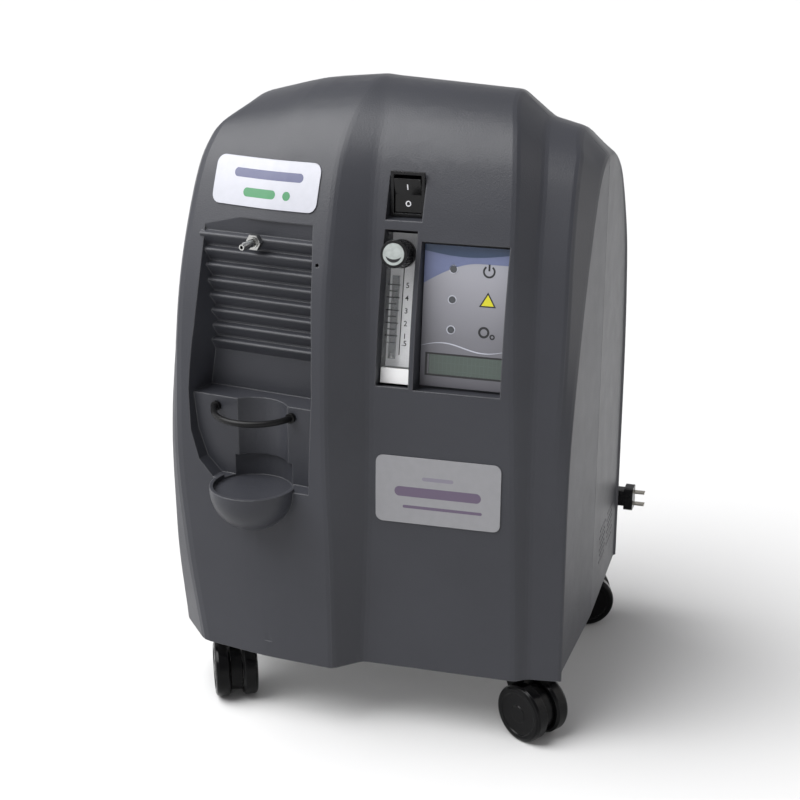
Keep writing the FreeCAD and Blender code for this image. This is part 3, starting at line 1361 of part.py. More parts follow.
node(group("hoses", hoses), "hoses")

# ---------------------------------------------------------------------------------------------
# Checks and files
# ---------------------------------------------------------------------------------------------

doc.recompute()
failed = [thing.Name for thing in doc.Objects if {"Invalid", "Error"} & set(thing.State)]
if failed:
    raise RuntimeError(f"objects that did not compute: {failed}")
for thing in nodes:
    if thing.Shape.isNull() or not thing.Shape.isValid() or not thing.Shape.Solids:
        raise RuntimeError(f"sub-part without a valid solid: {thing.Label}")
if len({thing.Label for thing in nodes}) != len(nodes):
    raise RuntimeError("two sub-parts share a name")

os.makedirs("parts", exist_ok=True)
for thing in nodes:
    thing.Shape.exportStep(f"parts/{thing.Label}.step")
print(len(nodes), "sub-parts written")
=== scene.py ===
"""Oxygen concentrator: materials, markings, cord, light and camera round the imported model.

Metres. X to the right seen from the front, Y to the back, Z up; the origin is on the floor
under the middle of the machine.
"""

import math

import bmesh
import bpy
from mathutils import Matrix, Vector


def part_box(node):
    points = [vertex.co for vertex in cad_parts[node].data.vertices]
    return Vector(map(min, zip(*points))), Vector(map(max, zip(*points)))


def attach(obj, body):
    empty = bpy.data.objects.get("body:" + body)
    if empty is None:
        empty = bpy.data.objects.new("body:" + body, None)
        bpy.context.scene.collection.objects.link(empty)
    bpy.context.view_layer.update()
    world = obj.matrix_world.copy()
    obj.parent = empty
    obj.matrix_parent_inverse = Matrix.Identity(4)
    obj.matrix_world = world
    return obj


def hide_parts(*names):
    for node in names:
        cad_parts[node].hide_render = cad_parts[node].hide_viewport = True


MM = 0.001

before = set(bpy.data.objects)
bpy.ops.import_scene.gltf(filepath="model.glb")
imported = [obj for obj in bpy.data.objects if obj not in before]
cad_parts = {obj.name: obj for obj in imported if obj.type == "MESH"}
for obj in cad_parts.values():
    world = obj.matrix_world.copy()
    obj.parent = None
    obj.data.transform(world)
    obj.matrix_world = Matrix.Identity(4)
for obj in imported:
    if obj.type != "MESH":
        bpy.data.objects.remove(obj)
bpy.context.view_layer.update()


# ---------------------------------------------------------------------------------------------
# Camera and studio
# ---------------------------------------------------------------------------------------------

CAMERA_AT = Vector((0.3897, -1.285, 0.7203))
CAMERA_RIGHT = Vector((0.957, 0.291, 0.0))
CAMERA_BACK = Vector((0.275, -0.903, 0.330))
LENS = 72.55
SENSOR = 36.0
AIM = Vector((0.0, 0.0, 0.27))

# The surroundings are white up to a little above the horizon and grey overhead; the heights are
# the vertical part of the direction looked in.
WHITE = (1.0, 1.0, 1.0, 1.0)
OVERHEAD_GREY = (0.3, 0.3, 0.312, 1.0)
WHITE_BELOW = 0.12
GREY_ABOVE = 0.42

OVERHEAD_POWER = 5.5
OVERHEAD_SPREAD = math.radians(58)
OVERHEAD_TURN = (math.radians(13), math.radians(-29), 0)
WARM = (1.0, 0.97, 0.94)
FLOOR_SIZE = 80.0
FLOOR_TONE = 0.55


def make_camera():
    """The camera in front of the machine, a little to its right and looking down at it."""
    back = CAMERA_BACK.normalized()
    right = (CAMERA_RIGHT - back * CAMERA_RIGHT.dot(back)).normalized()
    up = back.cross(right)
    turn = Matrix((right, up, back)).transposed().to_4x4()
    data = bpy.data.cameras.new("camera")
    data.lens = LENS
    data.sensor_width = SENSOR
    data.clip_start = 0.05
    data.clip_end = 50.0
    camera = bpy.data.objects.new("camera", data)
    bpy.context.collection.objects.link(camera)
    camera.matrix_world = Matrix.Translation(CAMERA_AT) @ turn
    bpy.context.scene.camera = camera


def area_light(name, at, size, power, colour=WHITE[:3]):
    """A rectangular lamp that points at the middle of the machine."""
    data = bpy.data.lights.new(name, "AREA")
    data.shape = "RECTANGLE"
    data.size, data.size_y = size
    data.energy = power
    data.color = colour
    lamp = bpy.data.objects.new(name, data)
    bpy.context.collection.objects.link(lamp)
    lamp.location = at
    lamp.rotation_mode = "QUATERNION"
    lamp.rotation_quaternion = (AIM - Vector(at)).to_track_quat("-Z", "Y")


def make_studio():
    """Surroundings, three lamps and a large pale floor."""
    world = bpy.data.worlds.new("studio")
    world.use_nodes = True
    nodes, links = world.node_tree.nodes, world.node_tree.links
    direction = nodes.new("ShaderNodeTexCoord")
    split = nodes.new("ShaderNodeSeparateXYZ")
    links.new(direction.outputs["Generated"], split.inputs["Vector"])
    fade = nodes.new("ShaderNodeValToRGB")
    low, high = fade.color_ramp.elements
    low.position, low.color = WHITE_BELOW, WHITE
    high.position, high.color = GREY_ABOVE, OVERHEAD_GREY
    links.new(split.outputs["Z"], fade.inputs["Fac"])
    links.new(fade.outputs["Color"], nodes["Background"].inputs["Color"])
    bpy.context.scene.world = world

    sky = bpy.data.lights.new("overhead_light", "SUN")
    sky.energy = OVERHEAD_POWER
    sky.angle = OVERHEAD_SPREAD
    overhead = bpy.data.objects.new("overhead_light", sky)
    overhead.rotation_euler = OVERHEAD_TURN
    bpy.context.collection.objects.link(overhead)

    area_light("left_softbox", (-1.5, -0.9, 1.2), (0.9, 1.4), 6)
    area_light("right_softbox", (1.6, 0.5, 0.8), (0.7, 1.5), 5, colour=WARM)

    bpy.ops.mesh.primitive_plane_add(size=FLOOR_SIZE, location=(0, 0, 0))
    floor = bpy.context.object
    floor.name = "studio_floor"
    paint = bpy.data.materials.new("studio_floor")
    paint.use_nodes = True
    shader = paint.node_tree.nodes["Principled BSDF"]
    shader.inputs["Base Color"].default_value = (FLOOR_TONE, FLOOR_TONE, FLOOR_TONE, 1)
    shader.inputs["Roughness"].default_value = 0.9
    shader.inputs["Specular IOR Level"].default_value = 0.1
    floor.data.materials.append(paint)

    view = bpy.context.scene.view_settings
    view.view_transform = "Standard"
    view.look = "None"
    view.exposure = 0.0


make_camera()
make_studio()


# ---------------------------------------------------------------------------------------------
# Materials
# ---------------------------------------------------------------------------------------------


def srgb(*levels):
    """A colour given as 0..255 screen levels, in linear light with an alpha of 1."""
    out = []
    for level in levels:
        c = level / 255
        out.append(c / 12.92 if c <= 0.04045 else ((c + 0.055) / 1.055) ** 2.4)
    return (*out, 1.0)


def tinted(colour, factor=1.0, shift=0.0):
    """The colour with its three channels scaled and shifted, each kept at 1 or below."""
    return (*(min(1.0, c * factor + shift) for c in colour[:3]), 1.0)


# How straight the shading is across an edge, as a cosine, where the pale edge (wear and painted
# highlight) starts and is full.
EDGE_STARTS = 0.99
EDGE_FULL = 0.9


class Shader:
    """A material's node tree, with short ways to add and join nodes."""

    def __init__(self, name):
        self.material = bpy.data.materials.new(name)
        self.material.use_nodes = True
        self.tree = self.material.node_tree
        self.surface = self.tree.nodes["Principled BSDF"]

    def add(self, kind, **settings):
        node = self.tree.nodes.new(kind)
        for name, value in settings.items():
            setattr(node, name, value)
        return node

    def join(self, source, target):
        self.tree.links.new(source, target)

    def set(self, **values):
        for name, value in values.items():
            self.surface.inputs[name.replace("_", " ")].default_value = value

    def place(self):
        return self.add("ShaderNodeTexCoord").outputs["Object"]

    def noise(self, size, detail=2.0, rough=0.5):
        """Noise whose features are about that size in metres."""
        node = self.add("ShaderNodeTexNoise")
        node.inputs["Scale"].default_value = 1.0 / size
        node.inputs["Detail"].default_value = detail
        node.inputs["Roughness"].default_value = rough
        self.join(self.place(), node.inputs["Vector"])
        return node.outputs["Fac"]

    def ramp(self, source, stops):
        """A colour ramp: stops are (position, colour)."""
        node = self.add("ShaderNodeValToRGB")
        elements = node.color_ramp.elements
        while len(elements) < len(stops):
            elements.new(0.5)
        for element, (at, colour) in zip(elements, stops):
            element.position = at
            element.color = colour
        self.join(source, node.inputs["Fac"])
        return node.outputs["Color"]

    def span(self, source, low, high):
        """Maps 0..1 to low..high."""
        node = self.add("ShaderNodeMapRange")
        node.inputs["To Min"].default_value = low
        node.inputs["To Max"].default_value = high
        self.join(source, node.inputs["Value"])
        return node.outputs["Result"]

    def mix(self, share, base, colour):
        """The base with that share of a colour; the share and the base are sockets."""
        node = self.add("ShaderNodeMix", data_type="RGBA")
        factor, first, second = node.inputs[0], node.inputs[6], node.inputs[7]
        self.join(share, factor)
        self.join(base, first)
        second.default_value = colour
        return node.outputs[2]

    def bump(self, height, depth):
        """Raises the surface by a height field; depth in metres."""
        node = self.add("ShaderNodeBump")
        node.inputs["Strength"].default_value = 1.0
        node.inputs["Distance"].default_value = depth
        self.join(height, node.inputs["Height"])
        previous = self.surface.inputs["Normal"]
        if previous.is_linked:
            self.join(previous.links[0].from_socket, node.inputs["Normal"])
        self.join(node.outputs["Normal"], previous)

    def soft_edges(self, radius):
        """Rounds sharp edges in the shading; returns how much each point belongs to an edge."""
        round_off = self.add("ShaderNodeBevel", samples=4)
        round_off.inputs["Radius"].default_value = radius
        self.join(round_off.outputs["Normal"], self.surface.inputs["Normal"])
        turn = self.add("ShaderNodeVectorMath", operation="DOT_PRODUCT")
        self.join(round_off.outputs["Normal"], turn.inputs[0])
        self.join(self.add("ShaderNodeNewGeometry").outputs["Normal"], turn.inputs[1])
        edge = self.add("ShaderNodeMapRange")
        edge.inputs["From Min"].default_value = EDGE_STARTS
        edge.inputs["From Max"].default_value = EDGE_FULL
        self.join(turn.outputs["Value"], edge.inputs["Value"])
        return edge.outputs["Result"]

    def colour(self, source):
        self.join(source, self.surface.inputs["Base Color"])

    def rough(self, source):
        self.join(source, self.surface.inputs["Roughness"])


def moulded_plastic(
    name, colour, rough=(0.34, 0.46), grain=0.0011, depth=0.00004, wear_and_highlight=0.0, edge=0.0005, sheen=0.3
):
    """Moulded plastic with a spark-eroded grain, slight tone changes and softened edges, paler partly by
    wear and partly by a painted highlight.
    """
    s = Shader(name)
    tone = s.noise(0.11, 3.0)
    base = s.ramp(tone, [(0.3, tinted(colour, 0.92)), (0.7, tinted(colour, 1.08))])
    on_edge = s.soft_edges(edge)
    # Paler edge colour: partly wear, partly a painted highlight standing in for light caught by the
    # edges.
    if wear_and_highlight:
        base = s.mix(on_edge, base, tinted(colour, shift=wear_and_highlight))
    s.colour(base)
    s.rough(s.span(s.noise(0.02, 4.0), *rough))
    s.bump(s.noise(grain, 2.0, 0.6), depth)
    s.set(Specular_IOR_Level=sheen)
    return s


def metal(name, colour, rough, brushed=False):
    """Bare or painted metal with faint stains; brushed metal has fine lines along X."""
    s = Shader(name)
    s.set(Metallic=1.0)
    tone = s.noise(0.004, 3.0)
    s.colour(s.ramp(tone, [(0.35, tinted(colour, 0.82)), (0.65, colour)]))
    s.rough(s.span(s.noise(0.0015, 3.0), rough * 0.8, rough * 1.3))
    if brushed:
        wave = s.add("ShaderNodeTexNoise")
        wave.inputs["Scale"].default_value = 900.0
        stretch = s.add("ShaderNodeMapping")
        stretch.inputs["Scale"].default_value = (0.05, 1.0, 1.0)
        s.join(s.place(), stretch.inputs["Vector"])
        s.join(stretch.outputs["Vector"], wave.inputs["Vector"])
        s.bump(wave.outputs["Fac"], 0.00001)
    return s


# Each plastic's paler edge amount is partly wear and partly a painted highlight.
cover = moulded_plastic(
    "cover_plastic", srgb(49, 50, 55), (0.36, 0.46), grain=0.0014, depth=0.00014, wear_and_highlight=0.05, edge=0.0015
)
caster = moulded_plastic("caster_plastic", srgb(9, 9, 10), (0.24, 0.34), wear_and_highlight=0.01, sheen=0.1)
wheel = moulded_plastic("wheel_tread", srgb(7, 7, 8), (0.16, 0.26), depth=0.00001, wear_and_highlight=0.02, sheen=0.12)
black = moulded_plastic("black_plastic", srgb(13, 13, 15), (0.22, 0.32), depth=0.00001, wear_and_highlight=0.01)
rocker_black = moulded_plastic(
    "rocker_plastic", srgb(10, 10, 11), (0.12, 0.2), depth=0.000005, wear_and_highlight=0.01
)
white = moulded_plastic("white_plastic", srgb(226, 226, 226), (0.3, 0.4), depth=0.00001)
rubber = moulded_plastic("black_rubber", srgb(10, 10, 11), (0.36, 0.48), wear_and_highlight=0.01, sheen=0.2)
foam = moulded_plastic("filter_foam", srgb(30, 30, 32), (0.8, 0.95), grain=0.0016, depth=0.0006)
board = moulded_plastic("circuit_board", srgb(24, 74, 44), (0.3, 0.5), grain=0.004, depth=0.0001)
cord_skin = moulded_plastic("cord_sheath", srgb(22, 22, 23), (0.32, 0.44), depth=0.00001)
steel = metal("steel", srgb(196, 196, 194), 0.22)
nickel = metal("nickel", srgb(205, 200, 188), 0.18)
cast = metal("cast_aluminium", srgb(168, 170, 172), 0.45)
iron = metal("painted_iron", srgb(70, 72, 74), 0.5)
satin = metal("satin_cap", srgb(186, 192, 190), 0.42, brushed=True)


def film(name, colour, rough=0.3):
    """Printed film: flat ink with a faint orange-peel surface."""
    s = Shader(name)
    s.colour(s.ramp(s.noise(0.006, 3.0), [(0.35, tinted(colour, 0.96)), (0.65, colour)]))
    s.rough(s.span(s.noise(0.003, 2.0), rough * 0.85, rough * 1.15))
    s.bump(s.noise(0.0012, 2.0), 0.00001)
    return s


ink_black = film("ink_black", srgb(22, 22, 25))
ink_white = film("ink_white", srgb(226, 226, 230))
ink_yellow = film("ink_yellow", srgb(196, 190, 34))
ink_slate = film("ink_slate", srgb(46, 62, 88))
ink_lilac = film("ink_lilac", srgb(98, 106, 138))
ink_pale = film("ink_pale", srgb(176, 178, 188))
lamp_dark = film("lamp_lens", srgb(62, 64, 68), 0.14)
scale_white = film("scale_white", srgb(238, 238, 240), 0.4)


def panel_film():
    """The indicator panel's printed film, paler towards its top."""
    s = Shader("panel_film")
    split = s.add("ShaderNodeSeparateXYZ")
    s.join(s.place(), split.inputs["Vector"])
    rise = s.add("ShaderNodeMapRange")
    foot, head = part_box("panel_plate")
    rise.inputs["From Min"].default_value = foot[2]
    rise.inputs["From Max"].default_value = head[2]
    s.join(split.outputs["Z"], rise.inputs["Value"])
    s.colour(s.ramp(rise.outputs["Result"], [
        (0.0, srgb(84, 83, 89)),
        (0.35, srgb(106, 106, 112)),
        (0.8, srgb(142, 142, 149)),
        (1.0, srgb(150, 152, 160)),
    ]))
    s.rough(s.span(s.noise(0.004, 2.0), 0.26, 0.34))
    s.bump(s.noise(0.0012, 2.0), 0.00001)
    return s


# Metres: a character cell of the display, and the gap between cells.
CELL_WIDTH = 0.0034
CELL_HEIGHT = 0.0062
CELL_GAP = 0.00025


def display_glass():
    """The grey-green display: glossy, with faint rows of unlit character cells."""
    s = Shader("display_glass")
    bricks = s.add("ShaderNodeTexBrick", offset=0.0)
    turn = s.add("ShaderNodeMapping")
    turn.inputs["Rotation"].default_value = (math.radians(90), 0, 0)
    s.join(s.place(), turn.inputs["Vector"])
    s.join(turn.outputs["Vector"], bricks.inputs["Vector"])
    bricks.inputs["Scale"].default_value = 1.0
    bricks.inputs["Brick Width"].default_value = CELL_WIDTH
    bricks.inputs["Row Height"].default_value = CELL_HEIGHT
    bricks.inputs["Mortar Size"].default_value = CELL_GAP
    bricks.inputs["Color1"].default_value = srgb(58, 70, 64)
    bricks.inputs["Color2"].default_value = srgb(59, 71, 65)
    bricks.inputs["Mortar"].default_value = srgb(62, 75, 69)
    s.colour(bricks.outputs["Color"])
    s.set(Roughness=0.12, Coat_Weight=0.5, Coat_Roughness=0.05)
    return s


def acrylic():
    """Clear moulded block: glossy, and nearly all light goes through."""
    s = Shader("clear_acrylic")
    s.set(Roughness=0.05, IOR=1.49, Alpha=0.1)
    s.colour(s.ramp(s.noise(0.02, 2.0), [(0.3, srgb(226, 230, 231)), (0.7, srgb(240, 243, 244))]))
    s.bump(s.noise(0.01, 2.0), 0.00002)
    return s


def paint_bore_dark():
    """The wall of the float's bore: the same clear acrylic, painted dark to stand in for the shade its
    refraction shows when seen edge on.
    """
    s = Shader("bore_painted_dark")
    # Painted shade: the dark colour stands in for the darkness refraction gives the bore.
    s.set(Roughness=0.08, IOR=1.49, Alpha=0.45)
    s.colour(s.ramp(s.noise(0.01, 2.0), [(0.3, srgb(40, 42, 46)), (0.7, srgb(70, 74, 78))]))
    return s


def label_film(name, plate, ground, bars):
    """A printed plate: plain bars on a ground. Each bar is (x, z, half width, half height, tone)
    in millimetres from the middle of the plate; its ends are round."""
    low, high = (Vector(corner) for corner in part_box(plate))
    middle = (low + high) / 2
    s = Shader(name)
    split = s.add("ShaderNodeSeparateXYZ")
    s.join(s.place(), split.inputs["Vector"])

    def calc(operation, one, other=0.0):
        node = s.add("ShaderNodeMath", operation=operation)
        for source, target in ((one, node.inputs[0]), (other, node.inputs[1])):
            if isinstance(source, float):
                target.default_value = source
            else:
                s.join(source, target)
        return node.outputs["Value"]

    base = s.ramp(s.noise(0.006, 3.0), [(0.35, tinted(ground, 0.96)), (0.65, ground)])
    for x, z, half_wide, half_high, tone in bars:
        along = calc("ABSOLUTE", calc("SUBTRACT", split.outputs["X"], middle.x + x * MM))
        past = calc("MAXIMUM", calc("SUBTRACT", along, (half_wide - half_high) * MM))
        across = calc("SUBTRACT", split.outputs["Z"], middle.z + z * MM)
        reach = calc("SQRT", calc("ADD", calc("POWER", past, 2.0), calc("POWER", across, 2.0)))
        base = s.mix(calc("LESS_THAN", reach, half_high * MM), base, tone)
    s.colour(base)
    s.rough(s.span(s.noise(0.003, 2.0), 0.3, 0.4))
    s.bump(s.noise(0.0012, 2.0), 0.00001)
    s.soft_edges(0.0004)
    return s


panel_print = panel_film()
display = display_glass()
clear = acrylic()
bore_painted_dark = paint_bore_dark()
NAVY = srgb(58, 62, 98)
GREEN = srgb(36, 112, 66)
PLUM = srgb(84, 72, 92)
GREY = srgb(112, 108, 120)
white_film = label_film("white_label", "upper_name_plate", srgb(166, 167, 175), [
    (2, 6.5, 32, 3.4, NAVY),
    (-4, -7.5, 15, 3.4, GREEN),
    (21, -7.5, 3.4, 3.4, GREEN),
])
silver_film = label_film("silver_label", "lower_name_plate", srgb(128, 128, 131), [
    (0, 11, 13, 1.6, GREY),
    (0, -1, 36, 4.2, PLUM),
    (4, -14, 33, 1.3, PLUM),
])


# ---------------------------------------------------------------------------------------------
# CAD nodes: which material each wears
# ---------------------------------------------------------------------------------------------


def dress(node, shader):
    """Gives every slot of a CAD node one material."""
    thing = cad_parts[node]
    if not thing.material_slots:
        thing.data.materials.append(shader.material)
    for slot in thing.material_slots:
        slot.material = shader.material


def dress_faces(node, shader, wanted):
    """Gives another material to the faces of a CAD node that wanted(centre) picks."""
    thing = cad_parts[node]
    thing.data.materials.append(shader.material)
    index = len(thing.data.materials) - 1
    for face in thing.data.polygons:
        if wanted(face.center):
            face.material_index = index


def even_shading(node, degrees):
    """Lets large faces lead the shading, so a flat or gently curved wall stays smooth round its
    small holes, and keeps every edge that turns by more than so many degrees crisp."""
    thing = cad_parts[node]
    thing.data.set_sharp_from_angle(angle=math.radians(degrees))
    weights = thing.modifiers.new("even_shading", "WEIGHTED_NORMAL")
    weights.keep_sharp = True
    weights.weight = 100


CASTERS = ("front_left", "front_right", "rear_right", "rear_left")
# Material: the nodes made of it.
WEARS = {
    cover: ["front_cover", "rear_cover", "rear_grip", "intake_door", "cord_hook"],
    caster: ["caster_sockets", *(f"caster_hood_{n}" for n in CASTERS)],
    wheel: [f"caster_wheels_{n}" for n in CASTERS],
    black: ["switch_housing", "flow_knob", "fan_frame", "fan_rotor", "intake_filter", "plug"],
    rocker_black: ["switch_rocker"],
    white: ["flow_base", "bacteria_filter", "valve_block", "base_tray"],
    white_film: ["upper_name_plate"],
    silver_film: ["lower_name_plate"],
    clear: ["flow_block"],
    display: ["display_window"],
    lamp_dark: ["indicator_lamps"],
    panel_print: ["panel_plate"],
    board: ["control_board"],
    foam: ["intake_foam"],
    rubber: ["bottle_strap", "strap_studs", "rubber_mounts", "hoses", "cord_relief"],
    cord_skin: ["cord_tube", "cord_coil"],
    steel: ["flow_float", "cover_screws", "outlet_nut", "outlet_barb", "shelf",
            "compressor_plate", "pressure_regulator"],
    satin: ["knob_cap"],
    nickel: ["plug_blades"],
    cast: ["crankcase_pair", "cylinder_pair", "cylinder_heads", "piston_left", "piston_right",
           "heat_exchanger", "sieve_bed_front", "sieve_bed_rear", "product_tank"],
    iron: ["motor_stator", "motor_rotor"],
}
for shader, nodes in WEARS.items():
    for node in nodes:
        dress(node, shader)
# The turn, in degrees, past which an edge is crisp; the faceted nodes have shallow edges.
CRISP = 28
FACETED = {"front_cover": 7, "rear_cover": 13, "switch_rocker": 10}
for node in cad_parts:
    even_shading(node, FACETED.get(node, CRISP))


# ---------------------------------------------------------------------------------------------
# Flat marks: thin raised prints on the flowmeter, the panel, the switch and the knob
# ---------------------------------------------------------------------------------------------

INK = 0.0001
# A figure is 0.7 of its font size tall, and its strokes are thickened a little with its height.
TEXT_SIZE_PER_HEIGHT = 1 / 0.7
STROKE_PER_HEIGHT = 0.015
FACING = Matrix.Rotation(math.radians(90), 4, "X")


def leaning(at, degrees):
    """The frame of a face that leans back by so many degrees; X right, -Y out of it, Z up it."""
    return Matrix.Translation(Vector(at) * MM) @ Matrix.Rotation(math.radians(-degrees), 4, "X")


# The frames of the flowmeter's and the panel's pockets.
FLOW = leaning((27.5, -97, 363.5), 12.4)
PANEL = leaning((80.5, -92, 359), 7.9)


def print_loops(name, loops, place, at, shader, body="cabinet", thick=INK):
    """A raised print: flat outlines in millimetres, (x, z) on a face, each closed; an inner loop
    is a hole."""
    curve = bpy.data.curves.new(name, "CURVE")
    curve.dimensions = "2D"
    curve.fill_mode = "BOTH"
    curve.extrude = thick / 2
    for loop in loops:
        spline = curve.splines.new("POLY")
        spline.points.add(len(loop) - 1)
        for target, (x, z) in zip(spline.points, loop):
            target.co = (x * MM, z * MM, 0, 1)
        spline.use_cyclic_u = True
    put_print(name, curve, place, at, shader, body, thick)


def print_text(name, text, height, place, at, shader, body="cabinet", thick=INK):
    """Generic figures, of that height in millimetres, centred at the place."""
    curve = bpy.data.curves.new(name, "FONT")
    curve.body = text
    curve.size = height * MM * TEXT_SIZE_PER_HEIGHT
    curve.align_x = "CENTER"
    curve.align_y = "CENTER"
    curve.extrude = thick / 2
    curve.offset = STROKE_PER_HEIGHT * height * MM
    curve.resolution_u = 4
    put_print(name, curve, place, at, shader, body, thick)


def put_print(name, curve, place, at, shader, body, thick):
    """Stands the print's back on the face; at is (x, y of the face, z) in millimetres."""
    curve.materials.append(shader.material)
    thing = bpy.data.objects.new(name, curve)
    bpy.context.collection.objects.link(thing)
    x, y, z = at
    thing.matrix_world = place @ Matrix.Translation((x * MM, y * MM - thick / 2, z * MM)) @ FACING
    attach(thing, body)


def bar(x0, x1, z0, z1):
    """A rectangle."""
    return [(x0, z0), (x1, z0), (x1, z1), (x0, z1)]


def circle(radius, at=(0, 0), steps=40, start=0.0, sweep=360.0):
    """Points round a circle, or along an arc of it."""
    count = steps if sweep == 360.0 else steps + 1
    angles = [math.radians(start + sweep * i / steps) for i in range(count)]
    return [(at[0] + radius * math.cos(a), at[1] + radius * math.sin(a)) for a in angles]


def arc_band(inner, outer, start, sweep, at):
    """A band along an arc; the angles are in degrees."""
    return circle(outer, at, 24, start, sweep) + circle(inner, at, 24, start + sweep, -sweep)


def wave_band(x0, x1, low, high, steps=40):
    """A band between two curves, each a function of 0..1 along it."""
    xs = [i / steps for i in range(steps + 1)]
    under = [(x0 + (x1 - x0) * t, low(t)) for t in xs]
    over = [(x0 + (x1 - x0) * t, high(t)) for t in reversed(xs)]
    return under + over


# --- flowmeter: white back, tube painted dark, graduations and figures ---

# Millimetres in the flow frame: the block's half width and front, the white sheet behind the
# scale, the float's bore and seat, and the scale's graduations, margin line and figures.
BLOCK_HALF = 12.5
BLOCK_FRONT = -0.5
BACK_SHEET_DEPTH = 10.6
BACK_SHEET_FOOT = -47.7
BACK_SHEET_HEAD = 60.2
BORE_AT = (-6.0, 6.0)
BORE_REACH = 3.4
SEAT_FOOT = -40.9
SCALE_LOW = -27.0
SCALE_STEP = 10.2
FULL_MARK = (-10.9, -0.3, 0.45)
HALF_MARK = (-8.9, -2.3, 0.4)
MARGIN_LINE_X = (1.7, 2.5)
MARGIN_LINE_HEAD = 34.0
MARGIN_FOOT_END = 8.6
FIGURE_X = 5.8
FIGURE_HEIGHT = 4.2
FIGURES = (".5", "1", "2", "3", "4", "5")


def in_bore(point):
    """Whether a point of the flow frame, in metres, is on the wall of the float's bore."""
    return math.hypot(point.x - BORE_AT[0] * MM, point.y - BORE_AT[1] * MM) < BORE_REACH * MM


def graduation(kind, z):
    """A line of the scale: kind is (left end, right end, half thickness)."""
    left, right, half = kind
    return bar(left, right, z - half, z + half)


def flow_marks():
    """The bore painted dark for its refraction shade, the white sheet behind it, and the scale printed
    on the block's front.
    """
    inward = FLOW.inverted()
    dress_faces("flow_block", bore_painted_dark, lambda centre: in_bore(inward @ centre))
    back = bar(-BLOCK_HALF + 0.3, BLOCK_HALF - 0.3, BACK_SHEET_FOOT, BACK_SHEET_HEAD)
    print_loops(
        "flow_back", [back], FLOW, (0, BACK_SHEET_DEPTH, 0), scale_white, thick=0.0002
    )
    marks = []
    whole = len(FIGURES) - 1
    for i in range(1, whole + 1):
        z = SCALE_LOW + SCALE_STEP * (i - 0.5)
        marks.append(graduation(FULL_MARK, z))
        if i < whole:
            marks.append(graduation(HALF_MARK, z + SCALE_STEP / 2))
    marks.append(bar(-10.0, -1.4, SCALE_LOW - 0.9, SCALE_LOW - 0.4))
    left, right = MARGIN_LINE_X
    marks.append(bar(left, right, SCALE_LOW - 10, MARGIN_LINE_HEAD))
    marks.append(bar(left, MARGIN_FOOT_END, SCALE_LOW - 10, SCALE_LOW - 9.2))
    print_loops("flow_scale_lines", marks, FLOW, (0, BLOCK_FRONT, 0), ink_black)
    for i, figure in enumerate(FIGURES):
        z = SCALE_LOW + (SCALE_STEP * (i - 0.5) if i else -0.6)
        at = (FIGURE_X, BLOCK_FRONT, z)
        print_text(f"flow_figure_{i}", figure, FIGURE_HEIGHT, FLOW, at, ink_black)


def revolve(name, profile, place, at, shader, body="cabinet", steps=32):
    """A piece turned about Z: profile is (radius, distance along Z) in millimetres."""
    bm = bmesh.new()
    rings = []
    for radius, along in profile:
        rings.append([
            bm.verts.new((x * MM, y * MM, along * MM)) for x, y in circle(radius, steps=steps)
        ])
    for low, high in zip(rings, rings[1:]):
        for i in range(steps):
            j = (i + 1) % steps
            bm.faces.new((low[i], low[j], high[j], high[i]))
    bm.faces.new(list(reversed(rings[0])))
    bm.faces.new(rings[-1])
    bmesh.ops.recalc_face_normals(bm, faces=bm.faces)
    mesh = bpy.data.meshes.new(name)
    bm.to_mesh(mesh)
    bm.free()
    for face in mesh.polygons:
        face.use_smooth = True
    mesh.set_sharp_from_angle(angle=math.radians(35))
    mesh.materials.append(shader.material)
    thing = bpy.data.objects.new(name, mesh)
    bpy.context.collection.objects.link(thing)
    thing.matrix_world = place @ Matrix.Translation(Vector(at) * MM)
    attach(thing, body)


def flow_metal():
    """The float's seat at the foot of the bore."""
    seat = [(2.2, 0), (2.9, 0.6), (2.9, 1.6), (1.2, 2.4)]
    revolve("flow_seat", seat, FLOW, (*BORE_AT, SEAT_FOOT), steel)


# --- indicator panel ---

# Millimetres in the panel frame: the plate's front, half width and head, the column and rows of
# the lamps from the top down, the symbols' column, and the display's window and its rim.
PLATE_FRONT = -3.0
PLATE_HALF = 34.5
PLATE_HEAD = 57.0
LAMP_X = -10.5
LAMP_ROWS = (38.4, 14.1, -10.1)
SYMBOL_X = 18.5
WINDOW = (-28.8, 33.8, -46.9, -31.0)
WINDOW_RIM = (-30.6, 35.2, -48.4, -29.6)


def pale_edge(t):
    """The pale band's lower edge: it climbs over two thirds of the width, then runs level."""
    return 26 + 18 * math.sin(math.pi * min(0.75 * t, 0.5))


def dark_edge(t):
    """The dark band's lower edge, which sags in the middle."""
    return 52 - 3.5 * math.sin(math.pi * t)


def plate_head(t):
    """Both bands' upper edge: level, at the plate's head."""
    return PLATE_HEAD


def swoosh_low(t):
    """The lower edge of the thin wave above the display."""
    return -24.5 + 3.0 * math.sin(2 * math.pi * t)


def swoosh_high(t):
    """Its upper edge: the wave is widest in the middle."""
    return swoosh_low(t) + 3.0 * t * (1 - t) + 0.2


def on_panel(name, loops, shader, lift=0.0):
    """A print on the panel's plate, or over another print there."""
    print_loops(name, loops, PANEL, (0, PLATE_FRONT - lift, 0), shader)


def ring(outer, inner, at):
    """A circle with a round hole."""
    return [circle(outer, at), circle(inner, at)]


